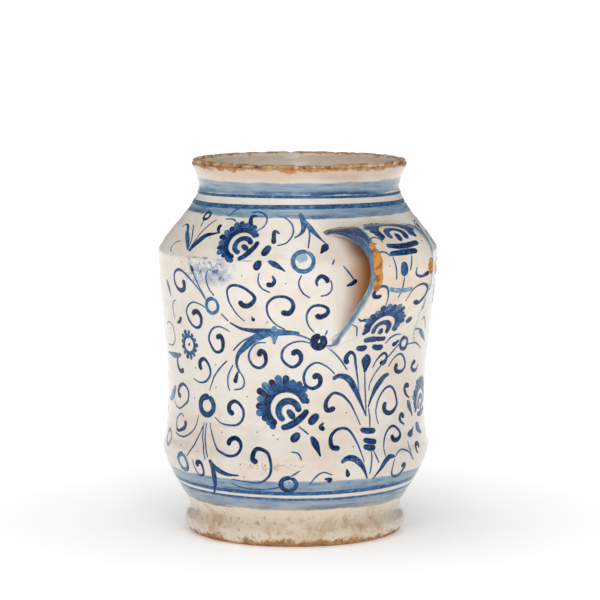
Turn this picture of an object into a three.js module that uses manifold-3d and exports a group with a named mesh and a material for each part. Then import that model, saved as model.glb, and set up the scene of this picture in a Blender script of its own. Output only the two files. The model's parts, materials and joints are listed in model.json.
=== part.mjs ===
// Apothecary jar: a waisted tin-glazed pharmacy jar with one strap handle.
// Millimetres, +Z up. The origin is the middle of the flat base, and the handle is on +X.
import * as THREE from 'three';
import Module from 'manifold-3d';
import { mergeVertices } from 'three/addons/utils/BufferGeometryUtils.js';

// ---- Jar sizes. Every radius and height is of the finished, glazed surface. ----
const HEIGHT = 225;
const BASE_RADIUS = 62;
const FOOT_RADIUS = 66.7;
const FOOT_HEIGHT = 9;
const FOOT_NECK_RADIUS = 63;
const FOOT_NECK_HEIGHT = 17;
const BELLY_RADIUS = 80;
const BELLY_HEIGHT = 53;
const WAIST_RADIUS = 77.2;
const WAIST_HEIGHT = 82;
const SHOULDER_RADIUS = 83.8;
const SHOULDER_HEIGHT = HEIGHT - 54;
const NECK_RADIUS = 60;
const NECK_HEIGHT = HEIGHT - 16;
const RIM_RADIUS = 64.4;
const RIM_DROP = 2.6;
const WALL = 6.5;
const FLOOR = 12;
const FLOOR_CORNER = 16;

// ---- Coats, joints and clearances. ----
const GLAZE = 0.6;
const COAT_GAP = 0.1;
const JOINT_GAP = 0.3;
const BARE_FOOT = 3;
const SLIP_HEIGHT = 1;

// ---- Handle. The path is the middle of the strap's thickness. ----
const STRAP_THICKNESS = 5.4;
const STRAP_HALF_WIDTH = 22.3;
const STRAP_BEND_DEPTH = 5;
const UPPER_ROOT_HALF_WIDTH = 29;
const LOWER_ROOT_HALF_WIDTH = 31;
const STRAP_REACH = SHOULDER_RADIUS + 16.4;
const STRAP_APEX_HEIGHT = SHOULDER_HEIGHT - 4;
const UPPER_ROOT_HEIGHT = SHOULDER_HEIGHT + 16;
const LOWER_ROOT_HEIGHT = SHOULDER_HEIGHT - 54;
const LUTING_DEPTH = 3.2;

// ---- The jar was thrown a little out of true: it leans this far per unit of height. ----
const LEAN = 0.0127;
const LEAN_DIRECTION = 53 * Math.PI / 180;

// ---- Fineness of the faceting. ----
const AROUND = 48;
const STRAP_STEPS = 20;
const STRAP_SIDES = 14;

const wasm = await Module();
wasm.setup();

// A radius that changes with height between two stations, given the slope dr/dz at each end.
function flank([r0, z0], [r1, z1], slope0, slope1, steps) {
  const third = (z1 - z0) / 3;
  const curve = new THREE.CubicBezierCurve(
    new THREE.Vector2(r0, z0),
    new THREE.Vector2(r0 + slope0 * third, z0 + third),
    new THREE.Vector2(r1 - slope1 * third, z1 - third),
    new THREE.Vector2(r1, z1),
  );
  return curve.getPoints(steps).slice(1);
}

// The glazed outside, from the base's edge to the start of the rim's crest, in finer or coarser steps.
function outsideProfile(fineness) {
  const foot = [FOOT_RADIUS, FOOT_HEIGHT];
  const footNeck = [FOOT_NECK_RADIUS, FOOT_NECK_HEIGHT];
  const belly = [BELLY_RADIUS, BELLY_HEIGHT];
  const waist = [WAIST_RADIUS, WAIST_HEIGHT];
  const shoulder = [SHOULDER_RADIUS, SHOULDER_HEIGHT];
  const neck = [NECK_RADIUS, NECK_HEIGHT];
  const rim = [RIM_RADIUS, HEIGHT - RIM_DROP];
  const steps = (finest) => Math.ceil(finest * fineness);
  return [
    new THREE.Vector2(BASE_RADIUS, 0),
    ...flank([BASE_RADIUS, 0], foot, 1.1, 0, steps(3)),
    ...flank(foot, footNeck, -0.1, 0.05, steps(3)),
    ...flank(footNeck, belly, 0.5, 0.1, steps(4)),
    ...flank(belly, waist, -0.22, 0, steps(2)),
    ...flank(waist, shoulder, 0, 0.02, steps(4)),
    ...flank(shoulder, neck, -0.5, -0.1, steps(5)),
    ...flank(neck, rim, 0.1, 0.25, steps(3)),
  ];
}

// The profile moved along its own normal. A positive distance moves it away from the clay.
function offset(profile, distance) {
  return profile.map((point, i) => {
    const before = profile[Math.max(i - 1, 0)];
    const after = profile[Math.min(i + 1, profile.length - 1)];
    const along = after.clone().sub(before).normalize();
    return new THREE.Vector2(point.x + along.y * distance, point.y - along.x * distance);
  });
}

// The glazed inside, from the rim's crest down the wall to the middle of the floor.
function insideProfile() {
  const wallFoot = FLOOR + FLOOR_CORNER;
  const wall = offset(outsideProfile(0.5), -WALL).filter((point) => point.y > wallFoot).reverse();
  const last = wall[wall.length - 1];
  const corner = new THREE.QuadraticBezierCurve(
    last,
    new THREE.Vector2(last.x - 0.6 * FLOOR_CORNER, FLOOR),
    new THREE.Vector2(last.x - 1.9 * FLOOR_CORNER, FLOOR),
  );
  return [...wall, ...corner.getPoints(3).slice(1), new THREE.Vector2(0, FLOOR)];
}

// The bare, worn crest of the rim: half an ellipse over the wall.
function crest(outer, inner) {
  const foot = Math.max(outer.y, inner.y);
  const arc = new THREE.EllipseCurve(
    (outer.x + inner.x) / 2, foot, (outer.x - inner.x) / 2, HEIGHT - foot, 0, Math.PI,
  );
  return arc.getPoints(5).slice(1, -1);
}

function toManifold(geometry) {
  const bare = new THREE.BufferGeometry();
  bare.setAttribute('position', geometry.getAttribute('position'));
  if (geometry.index) {
    bare.setIndex(geometry.index);
  }
  const merged = mergeVertices(bare, 1e-4);
  const mesh = new wasm.Mesh({
    numProp: 3,
    vertProperties: new Float32Array(merged.getAttribute('position').array),
    triVerts: new Uint32Array(merged.index.array),
  });
  mesh.merge();
  return new wasm.Manifold(mesh);
}

// A closed profile in (radius, height), turned about the jar's axis.
function turned(profile) {
  const lathe = new THREE.LatheGeometry(profile, AROUND);
  lathe.rotateX(Math.PI / 2);
  return toManifold(lathe);
}

// The space inside the outside surface, grown by a distance.
function within(outside, distance) {
  const grown = offset(outside, distance);
  const top = grown[grown.length - 1];
  return turned([
    new THREE.Vector2(0, -50),
    new THREE.Vector2(grown[0].x, -50),
    ...grown,
    new THREE.Vector2(top.x, HEIGHT + 50),
    new THREE.Vector2(0, HEIGHT + 50),
  ]);
}

// A flat slab across everything between two heights.
function slab(low, high) {
  const wide = 3 * SHOULDER_RADIUS;
  const box = new THREE.BoxGeometry(wide, wide, high - low);
  box.translate(0, 0, (low + high) / 2);
  return toManifold(box);
}

// The middle line of the strap: out of the shoulder, over the apex, and back into the wall.
function strapPath() {
  const apex = new THREE.Vector3(STRAP_REACH, 0, STRAP_APEX_HEIGHT);
  const path = new THREE.CurvePath();
  path.add(new THREE.CubicBezierCurve3(
    new THREE.Vector3(NECK_RADIUS + 6, 0, UPPER_ROOT_HEIGHT - 1),
    new THREE.Vector3(SHOULDER_RADIUS - 2, 0, UPPER_ROOT_HEIGHT + 3.5),
    new THREE.Vector3(STRAP_REACH, 0, STRAP_APEX_HEIGHT + 16),
    apex,
  ));
  path.add(new THREE.CubicBezierCurve3(
    apex,
    new THREE.Vector3(STRAP_REACH, 0, STRAP_APEX_HEIGHT - 14),
    new THREE.Vector3(SHOULDER_RADIUS + 4, 0, LOWER_ROOT_HEIGHT + 29),
    new THREE.Vector3(WAIST_RADIUS - 6, 0, LOWER_ROOT_HEIGHT),
  ));
  return path;
}

// The strap's half width along the path: it spreads towards both roots.
function strapHalfWidth(t) {
  const toUpper = Math.pow(Math.max(1 - t / 0.45, 0), 1.6);
  const toLower = Math.pow(Math.max((t - 0.45) / 0.55, 0), 1.6);
  return STRAP_HALF_WIDTH
    + (UPPER_ROOT_HALF_WIDTH - STRAP_HALF_WIDTH) * toUpper
    + (LOWER_ROOT_HALF_WIDTH - STRAP_HALF_WIDTH) * toLower;
}

// The extra clay under the strap's upper bend: none at the root, most on the bend, none past the apex.
function bendDepth(t) {
  return STRAP_BEND_DEPTH * Math.sin(Math.PI * Math.min(1, t / 0.55));
}

// The strap with its surface moved by a distance: a flat oval section swept along the path.
function strap(distance) {
  const path = strapPath();
  const positions = [];
  const indices = [];
  for (let i = 0; i <= STRAP_STEPS; i += 1) {
    const t = i / STRAP_STEPS;
    const middle = path.getPoint(t);
    const tangent = path.getTangent(t);
    const normal = new THREE.Vector3(tangent.z, 0, -tangent.x);
    for (let side = 0; side < STRAP_SIDES; side += 1) {
      const angle = 2 * Math.PI * side / STRAP_SIDES;
      const across = Math.sign(Math.cos(angle)) * Math.pow(Math.abs(Math.cos(angle)), 0.55);
      const through = Math.sign(Math.sin(angle)) * Math.pow(Math.abs(Math.sin(angle)), 0.75);
      const depth = through > 0 ? bendDepth(t) : 0;
      const point = middle.clone()
        .addScaledVector(normal, through * (STRAP_THICKNESS / 2 + depth + distance))
        .add(new THREE.Vector3(0, across * (strapHalfWidth(t) + distance), 0));
      positions.push(point.x, point.y, point.z);
    }
  }
  for (let i = 0; i < STRAP_STEPS; i += 1) {
    for (let side = 0; side < STRAP_SIDES; side += 1) {
      const next = (side + 1) % STRAP_SIDES;
      const a = i * STRAP_SIDES + side;
      const b = i * STRAP_SIDES + next;
      indices.push(a, b + STRAP_SIDES, b, a, a + STRAP_SIDES, b + STRAP_SIDES);
    }
  }
  for (let side = 1; side < STRAP_SIDES - 1; side += 1) {
    const end = STRAP_STEPS * STRAP_SIDES;
    indices.push(0, side, side + 1);
    indices.push(end, end + side + 1, end + side);
  }
  const geometry = new THREE.BufferGeometry();
  geometry.setAttribute('position', new THREE.Float32BufferAttribute(positions, 3));
  geometry.setIndex(indices);
  return toManifold(geometry);
}

const group = new THREE.Group();
group.name = 'apothecary_jar';

// Adds one solid as one named piece, leaning it with the rest of the jar.
function addPiece(name, solid, colour, roughness) {
  const mesh = solid.getMesh();
  const geometry = new THREE.BufferGeometry();
  geometry.setAttribute('position', new THREE.BufferAttribute(new Float32Array(mesh.vertProperties), 3));
  geometry.setIndex(new THREE.BufferAttribute(new Uint32Array(mesh.triVerts), 1));
  const shear = new THREE.Matrix4().set(
    1, 0, LEAN * Math.cos(LEAN_DIRECTION), 0,
    0, 1, LEAN * Math.sin(LEAN_DIRECTION), 0,
    0, 0, 1, 0,
    0, 0, 0, 1,
  );
  geometry.applyMatrix4(shear);
  const material = new THREE.MeshStandardMaterial({ color: colour, roughness, metalness: 0 });
  const piece = new THREE.Mesh(geometry, material);
  piece.name = name;
  group.add(piece);
}

const outside = outsideProfile(1);
const inside = insideProfile();
const clayCoat = GLAZE + COAT_GAP;

// ---- Clay: one turned vessel, parted at the shoulder by the ring of joining slip. ----
const clayOutside = offset(outside, -clayCoat);
clayOutside[0].set(BASE_RADIUS - clayCoat, 0);
const clayInside = offset(inside, -clayCoat);
clayInside[clayInside.length - 1].set(0, FLOOR - clayCoat);
const vessel = turned([
  new THREE.Vector2(0, 0),
  ...clayOutside,
  ...crest(clayOutside[clayOutside.length - 1], clayInside[0]),
  ...clayInside,
]);
const slipLow = SHOULDER_HEIGHT - SLIP_HEIGHT / 2;
const slipHigh = SHOULDER_HEIGHT + SLIP_HEIGHT / 2;
addPiece('foot_and_wall', vessel.intersect(slab(-1, slipLow - JOINT_GAP)), '#c58a5a', 0.9);
addPiece('shoulder_seam_slip', vessel.intersect(slab(slipLow, slipHigh)), '#b98458', 0.95);
addPiece('shoulder_collar', vessel.intersect(slab(slipHigh + JOINT_GAP, HEIGHT + 1)), '#c58a5a', 0.9);

// ---- Handle: the strap stops short of the wall, and a pad of luting clay fills each end. ----
const strapClay = strap(-clayCoat);
const offWall = within(outside, -clayCoat + JOINT_GAP);
const padEnd = within(outside, LUTING_DEPTH);
const strapStart = within(outside, LUTING_DEPTH + JOINT_GAP);
const pads = strapClay.intersect(padEnd).subtract(offWall);
addPiece('handle_strap', strapClay.subtract(strapStart), '#c58a5a', 0.9);
addPiece('handle_upper_luting', pads.intersect(slab(STRAP_APEX_HEIGHT, HEIGHT)), '#b98458', 0.95);
addPiece('handle_lower_luting', pads.intersect(slab(0, STRAP_APEX_HEIGHT)), '#b98458', 0.95);

// ---- Glaze: thin coats over the clay, bare at the foot's edge and on the worn rim. ----
const glazeBack = offset(outside, -GLAZE);
const outerCoat = turned([...outside, ...glazeBack.reverse(), outside[0]])
  .intersect(slab(BARE_FOOT, HEIGHT))
  .subtract(strap(-GLAZE));
addPiece('outer_glaze', outerCoat, '#eae4d6', 0.12);
const insideBack = offset(inside, -GLAZE);
insideBack[insideBack.length - 1].set(0, FLOOR - GLAZE);
addPiece('inner_glaze', turned([...inside, ...insideBack.reverse(), inside[0]]), '#e9e0cf', 0.15);
const handleCoat = strap(0).subtract(strap(-GLAZE)).subtract(within(outside, JOINT_GAP));
addPiece('handle_glaze', handleCoat, '#e6e0d3', 0.12);

export default group;
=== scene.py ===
# %% [markdown]
# # A tin-glazed apothecary jar
# This lesson builds the looks of a waisted pharmacy jar with one strap handle. The clay vessel, its
# seam and its handle are already fixed as solids. Here they get their glaze, their wear and the blue
# brushwork. First the fixed solids are loaded, and their box is kept, because nothing may grow past
# it.

# %% Load the fixed solids
import json
import math

import bpy
import numpy as np
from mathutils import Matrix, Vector

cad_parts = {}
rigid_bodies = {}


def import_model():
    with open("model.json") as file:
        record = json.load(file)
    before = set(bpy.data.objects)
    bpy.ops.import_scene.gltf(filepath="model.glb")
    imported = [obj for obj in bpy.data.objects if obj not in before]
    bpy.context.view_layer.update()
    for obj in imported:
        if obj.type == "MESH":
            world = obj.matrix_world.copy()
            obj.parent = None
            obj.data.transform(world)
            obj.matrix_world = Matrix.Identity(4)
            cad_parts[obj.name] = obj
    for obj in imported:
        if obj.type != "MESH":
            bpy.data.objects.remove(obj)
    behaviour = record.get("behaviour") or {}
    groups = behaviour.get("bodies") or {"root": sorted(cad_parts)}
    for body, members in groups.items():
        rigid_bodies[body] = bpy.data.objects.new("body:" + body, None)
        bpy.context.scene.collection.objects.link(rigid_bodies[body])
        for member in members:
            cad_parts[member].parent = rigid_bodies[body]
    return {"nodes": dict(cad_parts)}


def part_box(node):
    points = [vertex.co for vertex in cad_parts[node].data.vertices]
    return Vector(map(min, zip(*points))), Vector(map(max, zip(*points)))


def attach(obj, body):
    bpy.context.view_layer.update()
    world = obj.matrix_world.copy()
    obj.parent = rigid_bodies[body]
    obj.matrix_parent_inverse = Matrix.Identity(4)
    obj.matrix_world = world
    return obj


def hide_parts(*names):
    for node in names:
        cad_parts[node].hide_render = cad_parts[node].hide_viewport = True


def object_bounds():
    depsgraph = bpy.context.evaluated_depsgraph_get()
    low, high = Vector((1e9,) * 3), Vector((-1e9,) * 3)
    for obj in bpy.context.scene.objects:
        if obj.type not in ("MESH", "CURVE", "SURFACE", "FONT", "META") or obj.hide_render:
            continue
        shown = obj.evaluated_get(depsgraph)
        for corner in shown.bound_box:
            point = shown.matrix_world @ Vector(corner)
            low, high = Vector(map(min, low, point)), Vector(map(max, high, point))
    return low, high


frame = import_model()
cad_box = [list(corner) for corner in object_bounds()]
MM = 0.001
print("solids:", sorted(frame["nodes"]))
print("box in mm:", [[round(v / MM, 1) for v in corner] for corner in cad_box])

# %% [markdown]
# ## The camera and the light
# A jar like this is shown in a white tent: light comes from everywhere, so its shadows are soft and
# its glaze mirrors pale panels. A long lens keeps the sides nearly parallel. The camera comes first,
# so that every later step can be looked at. The handle points along +X, and the viewer stands to the
# left of it.

# %% Camera
VIEW_TURN = math.radians(37)
VIEW_DISTANCE = 1900 * MM
VIEW_HEIGHT = 353 * MM
VIEW_PITCH = math.radians(6.42)
SIDE_STEP = 3.2 * MM
LENS = 190.7

toward_jar = Vector((-math.cos(VIEW_TURN), math.sin(VIEW_TURN), 0))
rightward = Vector((math.sin(VIEW_TURN), math.cos(VIEW_TURN), 0))
camera_data = bpy.data.cameras.new("camera")
camera_data.lens = LENS
camera_data.sensor_width = 36
camera_data.clip_end = 200
camera = bpy.data.objects.new("camera", camera_data)
camera.location = rightward * SIDE_STEP - toward_jar * VIEW_DISTANCE + Vector((0, 0, VIEW_HEIGHT))
aim = toward_jar * math.cos(VIEW_PITCH) - Vector((0, 0, math.sin(VIEW_PITCH)))
camera.rotation_euler = aim.to_track_quat("-Z", "Y").to_euler()
bpy.context.scene.collection.objects.link(camera)
bpy.context.scene.camera = camera
print("camera at", [round(v, 3) for v in camera.location])


# %% Soft lamps
LAMP_AIM = Vector((0, 0, 0.12))
TENT_STRENGTH = 0.275


def add_lamp(name, right, back, up, size, power):
    """A square soft lamp, placed by how far it is to the viewer's right, towards the viewer and up."""
    data = bpy.data.lights.new(name, "AREA")
    data.size = size
    data.energy = power
    lamp = bpy.data.objects.new(name, data)
    lamp.location = rightward * right - toward_jar * back + Vector((0, 0, up))
    lamp.rotation_euler = (LAMP_AIM - lamp.location).to_track_quat("-Z", "Y").to_euler()
    bpy.context.scene.collection.objects.link(lamp)


# Each lamp is (right, towards the viewer, up, size, power), in metres and watts.
LAMPS = {
    "left_panel": (-0.25, 1.8, 0.9, 0.8, 3.2),
    "right_panel": (0.3, 1.8, 0.95, 0.35, 3.0),
    "overhead_panel": (-0.1, 0.4, 1.5, 0.9, 4.9),
    "high_panel": (0.0, 1.15, 1.5, 0.5, 2.3),
}
for name, placing in LAMPS.items():
    add_lamp(name, *placing)
world = bpy.data.worlds.new("white_tent")
world.use_nodes = True
world.node_tree.nodes["Background"].inputs["Color"].default_value = (1, 1, 1, 1)
world.node_tree.nodes["Background"].inputs["Strength"].default_value = TENT_STRENGTH
bpy.context.scene.world = world
bpy.context.scene.view_settings.view_transform = "Standard"

# %% Floor
floor_mesh = bpy.data.meshes.new("floor")
FLOOR_REACH = 60
FLOOR_GREY = 0.93
# The floor glows as painted light: dimmer near the jar, so the jar's shadow still shows, and brighter far
# off, where it reads white.
FLOOR_GLOW = {"From Min": 0.08, "From Max": 0.55, "To Min": 0.34, "To Max": 0.88}
floor_corners = [(x * FLOOR_REACH, y * FLOOR_REACH, 0) for x, y in ((-1, -1), (1, -1), (1, 1), (-1, 1))]
floor_mesh.from_pydata(floor_corners, [], [(0, 1, 2, 3)])
floor = bpy.data.objects.new("floor", floor_mesh)
bpy.context.scene.collection.objects.link(floor)
floor_material = bpy.data.materials.new("floor_white")
floor_material.use_nodes = True
floor_tree = floor_material.node_tree
floor_shader = floor_tree.nodes["Principled BSDF"]
floor_shader.inputs["Base Color"].default_value = (FLOOR_GREY, FLOOR_GREY, FLOOR_GREY, 1)
floor_shader.inputs["Roughness"].default_value = 0.9
floor_shader.inputs["Emission Color"].default_value = (1, 1, 1, 1)
floor_place = floor_tree.nodes.new("ShaderNodeTexCoord")
floor_reach = floor_tree.nodes.new("ShaderNodeVectorMath")
floor_reach.operation = "LENGTH"
floor_glow = floor_tree.nodes.new("ShaderNodeMapRange")
for label, value in FLOOR_GLOW.items():
    floor_glow.inputs[label].default_value = value
floor_tree.links.new(floor_place.outputs["Object"], floor_reach.inputs[0])
floor_tree.links.new(floor_reach.outputs["Value"], floor_glow.inputs["Value"])
floor_tree.links.new(floor_glow.outputs[0], floor_shader.inputs["Emission Strength"])
floor_mesh.materials.append(floor_material)

# %% [markdown]
# ## The outline of the jar
# A thrown jar is one outline turned about its axis, so the outline is worked out once and everything
# else reads it. It runs from the foot to the rim. Each stretch is a smooth curve between two
# stations, with a slope at each end: foot, foot neck, belly corner, waist, shoulder corner, neck and
# rim. A place on the wall is then an angle round the jar and a distance up the outline, as a tape
# measure laid on the pot would give it.

# %% Stations and outline
FOOT = (66.7, 9)
FOOT_NECK = (63, 17)
BELLY = (80, 53)
WAIST = (77.2, 82)
SHOULDER = (83.8, 171)
NECK = (60, 209)
RIM = (64.4, 222.4)
BASE = (62, 0)
WALL = 6.5
GLAZE = 0.6
LEAN_SLOPE = 0.0127
LEAN_TURN = math.radians(53)


def flank(start, end, slope_start, slope_end, steps):
    """Points of a curve between two stations (radius, height), with its slopes dr/dz at the ends."""
    third = (end[1] - start[1]) / 3
    corners = np.array([start, (start[0] + slope_start * third, start[1] + third),
                        (end[0] - slope_end * third, end[1] - third), end])
    t = np.linspace(0, 1, steps + 1)[1:, None]
    weights = ((1 - t) ** 3, 3 * (1 - t) ** 2 * t, 3 * (1 - t) * t * t, t ** 3)
    return sum(w * corner for w, corner in zip(weights, corners))


outline = np.vstack([
    [BASE],
    flank(BASE, FOOT, 1.1, 0, 24),
    flank(FOOT, FOOT_NECK, -0.1, 0.05, 24),
    flank(FOOT_NECK, BELLY, 0.5, 0.1, 40),
    flank(BELLY, WAIST, -0.22, 0, 30),
    flank(WAIST, SHOULDER, 0, 0.02, 60),
    flank(SHOULDER, NECK, -0.5, -0.1, 60),
    flank(NECK, RIM, 0.1, 0.25, 24),
])
outline_run = np.r_[0, np.cumsum(np.hypot(*np.diff(outline, axis=0).T))]
print(f"outline {outline_run[-1]:.1f} mm long")


def height_at(run):
    """The height in mm at a distance up the outline."""
    return np.interp(run, outline_run, outline[:, 1])


def radius_at(run):
    """The radius in mm at a distance up the outline."""
    return np.interp(run, outline_run, outline[:, 0])


def leaned(points_mm):
    """Leans upright points as the thrown jar leans, and turns millimetres into metres."""
    points = np.array(points_mm, float)
    points[..., 0] += LEAN_SLOPE * math.cos(LEAN_TURN) * points[..., 2]
    points[..., 1] += LEAN_SLOPE * math.sin(LEAN_TURN) * points[..., 2]
    return points * MM


def wall_point(degrees, run):
    """A place on the jar's outside, in metres: an angle round it and a distance up the outline."""
    turn = np.radians(degrees)
    radius = radius_at(run)
    return leaned(np.stack([radius * np.cos(turn), radius * np.sin(turn),
                            height_at(run) + 0 * turn], -1))


# %% [markdown]
# ## Small helpers
# Every finish and every Geometry Nodes tree is made of many small nodes. A few helpers keep them
# readable: one that adds a node with its inputs, and short ones for arithmetic, noise and colour
# mixing.

# %% Node helpers
def put(tree, kind, inputs=None, **settings):
    """Adds a node. Inputs are given by name or number, as a value or as another node's output."""
    added = tree.nodes.new(kind)
    for name, value in settings.items():
        setattr(added, name, value)
    for key, value in (inputs or {}).items():
        if isinstance(value, bpy.types.NodeSocket):
            tree.links.new(value, added.inputs[key])
        else:
            added.inputs[key].default_value = value
    return added


def tree_of(values):
    """The tree that holds whichever of some values are node outputs."""
    return next(value.id_data for value in values if isinstance(value, bpy.types.NodeSocket))


def calc(operation, *values, clamp=False):
    """One step of arithmetic."""
    return put(tree_of(values), "ShaderNodeMath", dict(enumerate(values)), operation=operation,
               use_clamp=clamp).outputs[0]


def times(first, *others, clamp=False):
    for other in others:
        first = calc("MULTIPLY", first, other, clamp=clamp)
    return first


def times_plus(value, factor, more, clamp=False):
    return calc("MULTIPLY_ADD", value, factor, more, clamp=clamp)


def minus(value, less):
    return calc("SUBTRACT", value, less)


def vector_calc(operation, *values):
    """One step of vector arithmetic. Scaling takes its factor from the node's fourth input."""
    inputs = dict(zip((0, 3) if operation == "SCALE" else (0, 1), values))
    return put(tree_of(values), "ShaderNodeVectorMath", inputs, operation=operation).outputs[0]


def noise(where, scale, detail, rough, distort=0.0):
    """A value between 0 and 1 that wanders over the surface. Scale is in ripples per metre."""
    return put(where.id_data, "ShaderNodeTexNoise", {"Vector": where, "Scale": scale, "Detail": detail,
                                                     "Roughness": rough, "Distortion": distort}).outputs[0]


def step_up(value, low, high):
    """0 below low, 1 above high, smooth between."""
    return put(value.id_data, "ShaderNodeMapRange", {"Value": value, "From Min": low, "From Max": high},
               interpolation_type="SMOOTHSTEP").outputs[0]


def band(value, low, high, soft):
    """1 between low and high, falling to 0 over a soft edge."""
    rising = step_up(value, low - soft, low + soft)
    falling = step_up(value, high - soft, high + soft)
    return calc("SUBTRACT", rising, falling, clamp=True)


def over(under, paint, *amounts):
    """Paint laid over a colour by the product of some amounts between 0 and 1."""
    amount = times(*amounts)
    mixed = put(amount.id_data, "ShaderNodeMix", {0: amount, 6: under, 7: paint}, data_type="RGBA")
    return mixed.outputs[2]


def rgb(red, green, blue):
    """A screen colour of 0 to 255 a channel, as the linear colour that shaders take."""
    return tuple(((c / 255 + 0.055) / 1.055) ** 2.4 if c > 10 else c / 255 / 12.92
                 for c in (red, green, blue)) + (1.0,)

# %% [markdown]
# ## Fired clay
# Where the glaze has worn away, the pot shows its biscuit: a soft, low-fired clay. It is ochre to
# orange, darker where dirt has got into its pores, and it scatters light with no gloss. It could be
# one brown, but clay is never one brown: two wandering noises and fine grit give it life.

# %% Clay colours
CLAY_PALE = rgb(214, 178, 134)
CLAY_OCHRE = rgb(192, 134, 78)
CLAY_RUST = rgb(150, 92, 48)
CLAY_GRIT = rgb(96, 60, 36)
FRESH_CLAY = rgb(216, 146, 62)
SCAB_CREAM = rgb(226, 208, 184)
SCAB_TAN = rgb(205, 170, 134)
RIM_DIRT = rgb(112, 70, 40)


def clay_colour(where):
    """The colour of bare clay at a place on the surface."""
    broad = step_up(noise(where, 90, 4, 0.6), 0.35, 0.66)
    patchy = step_up(noise(where, 330, 4, 0.65), 0.42, 0.68)
    grit = step_up(noise(where, 1500, 2, 0.6), 0.60, 0.72)
    colour = over(CLAY_OCHRE, CLAY_PALE, broad)
    colour = over(colour, CLAY_RUST, patchy, 0.75)
    return over(colour, CLAY_GRIT, grit, 0.6)


def new_finish(name):
    """An empty node material, with its shader and the surface's own coordinates."""
    material = bpy.data.materials.new(name)
    material.use_nodes = True
    where = put(material.node_tree, "ShaderNodeTexCoord").outputs["Object"]
    return material, material.node_tree.nodes["Principled BSDF"], where


def dress(shader, colour, roughness, strength, distance, relief):
    """Feeds a shader its colour, its roughness, and a bump of some strength and distance."""
    tree = shader.id_data
    bump = put(tree, "ShaderNodeBump", {"Strength": strength, "Distance": distance, "Height": relief})
    for name, value in (("Base Color", colour), ("Roughness", roughness), ("Normal", bump.outputs[0])):
        tree.links.new(value, shader.inputs[name])


def clay_finish(name):
    material, shader, where = new_finish(name)
    pores = noise(where, 900, 3, 0.7)
    dress(shader, clay_colour(where), times_plus(pores, 0.2, 0.75), 0.5, 0.3 * MM, pores)
    return material


def worn_rim_finish(name):
    """Bare clay that still holds scabs of cream glaze, most of them on the inner side."""
    material, shader, where = new_finish(name)
    scabs = step_up(noise(where, 115, 5, 0.68), 0.53, 0.56)
    tint = over(SCAB_CREAM, SCAB_TAN, noise(where, 300, 3, 0.5))
    dirt = step_up(noise(where, 190, 4, 0.7, 0.5), 0.57, 0.63)
    colour = over(over(clay_colour(where), tint, scabs), RIM_DIRT, dirt, 0.8)
    rough_ground = times_plus(scabs, 0.5, noise(where, 700, 3, 0.7))
    dress(shader, colour, times_plus(scabs, -0.45, 0.8), 0.6, 0.5 * MM, rough_ground)
    return material


biscuit = clay_finish("biscuit_clay")
joining_slip = clay_finish("joining_slip")
worn_rim = worn_rim_finish("worn_rim")
print("finishes:", biscuit.name, joining_slip.name, worn_rim.name)

# %% [markdown]
# ## Tin glaze
# Tin oxide makes a white, opaque glaze, but an old one is cream: it is thin over the ridges, so pink
# clay glows through, and it holds pinholes, dirt and stains. On this jar it has also worn off the rim
# and the foot, its blue has crawled along the seam, and pale blue washes run round the neck and above
# the foot. Painted shade is laid in as well: under the rim, and with the stain on the wall behind the
# handle. One group of nodes paints all of this from the place on the surface alone, so that the jar,
# its handle and the brushwork agree where they meet.

# %% Where things are on the glaze
RIM_TOP = cad_box[1][2]
SEAM_HEIGHT = SHOULDER[1] * MM
NECK_WASH = (height_at(220.8) * MM, height_at(228.6) * MM)
SHOULDER_WASH = (height_at(206.6) * MM, height_at(213.0) * MM)
BELLY_WASH = (height_at(38.5) * MM, height_at(47.5) * MM)
FOOT_WASH = (height_at(25.8) * MM, height_at(35.0) * MM)
LEAN_X = LEAN_SLOPE * math.cos(LEAN_TURN)
LEAN_Y = LEAN_SLOPE * math.sin(LEAN_TURN)


def split_place(where):
    """Height, distance from the axis, and angle round the jar in degrees, with the lean taken out."""
    x, y, z = put(where.id_data, "ShaderNodeSeparateXYZ", {0: where}).outputs
    straight_x = times_plus(z, -LEAN_X, x)
    straight_y = times_plus(z, -LEAN_Y, y)
    across = calc("SQRT", calc("ADD", calc("POWER", straight_x, 2.0), calc("POWER", straight_y, 2.0)))
    return z, across, calc("DEGREES", calc("ARCTAN2", straight_y, straight_x))


CHIP_RAGGED = 0.9
CHIP_SOFT = 0.16


def near_spot(where, spot, size, wander):
    """1 inside a ragged patch round a spot, 0 outside. Size is its half-size along x, y and z."""
    shifted = vector_calc("SUBTRACT", where, tuple(spot))
    scaled = vector_calc("MULTIPLY", shifted, tuple(1 / s for s in size))
    gone = put(where.id_data, "ShaderNodeVectorMath", {0: scaled}, operation="LENGTH").outputs["Value"]
    edge = 1 + CHIP_RAGGED / 2
    return minus(1.0, step_up(times_plus(wander, CHIP_RAGGED, gone), edge - CHIP_SOFT, edge + CHIP_SOFT))


# %% Glaze colours
CREAM = rgb(238, 232, 222)
CREAM_WARM = rgb(234, 220, 204)
CREAM_PINK = rgb(226, 198, 176)
BLUSH = rgb(214, 178, 152)
WASH_BLUE = rgb(100, 140, 172)
WASH_DEEP = rgb(42, 84, 130)
WASH_POOLED = rgb(30, 70, 116)
SMEAR_PALE = rgb(128, 156, 186)
SMEAR_DEEP = rgb(40, 76, 130)
CRACK_BROWN = rgb(140, 92, 52)
SPECK_BROWN = rgb(168, 122, 76)
SCAR_BROWN = rgb(140, 92, 54)
FOOT_CREAM = rgb(238, 218, 184)
FOOT_BROWN = rgb(200, 154, 104)
# Brown and grey painted shade under the rim, laid over glaze that is thin there.
THIN_GLAZE_AND_SHADE_BROWN = rgb(202, 168, 132)
RIM_GREY = rgb(190, 180, 168)
# Ochre stain with painted shade on the wall behind the handle, and a deeper brown painted shade under its
# upper end.
STAIN_AND_SHADE_OCHRE = rgb(198, 132, 58)
SHADE_AND_STAIN_BROWN = rgb(130, 76, 34)
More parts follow.
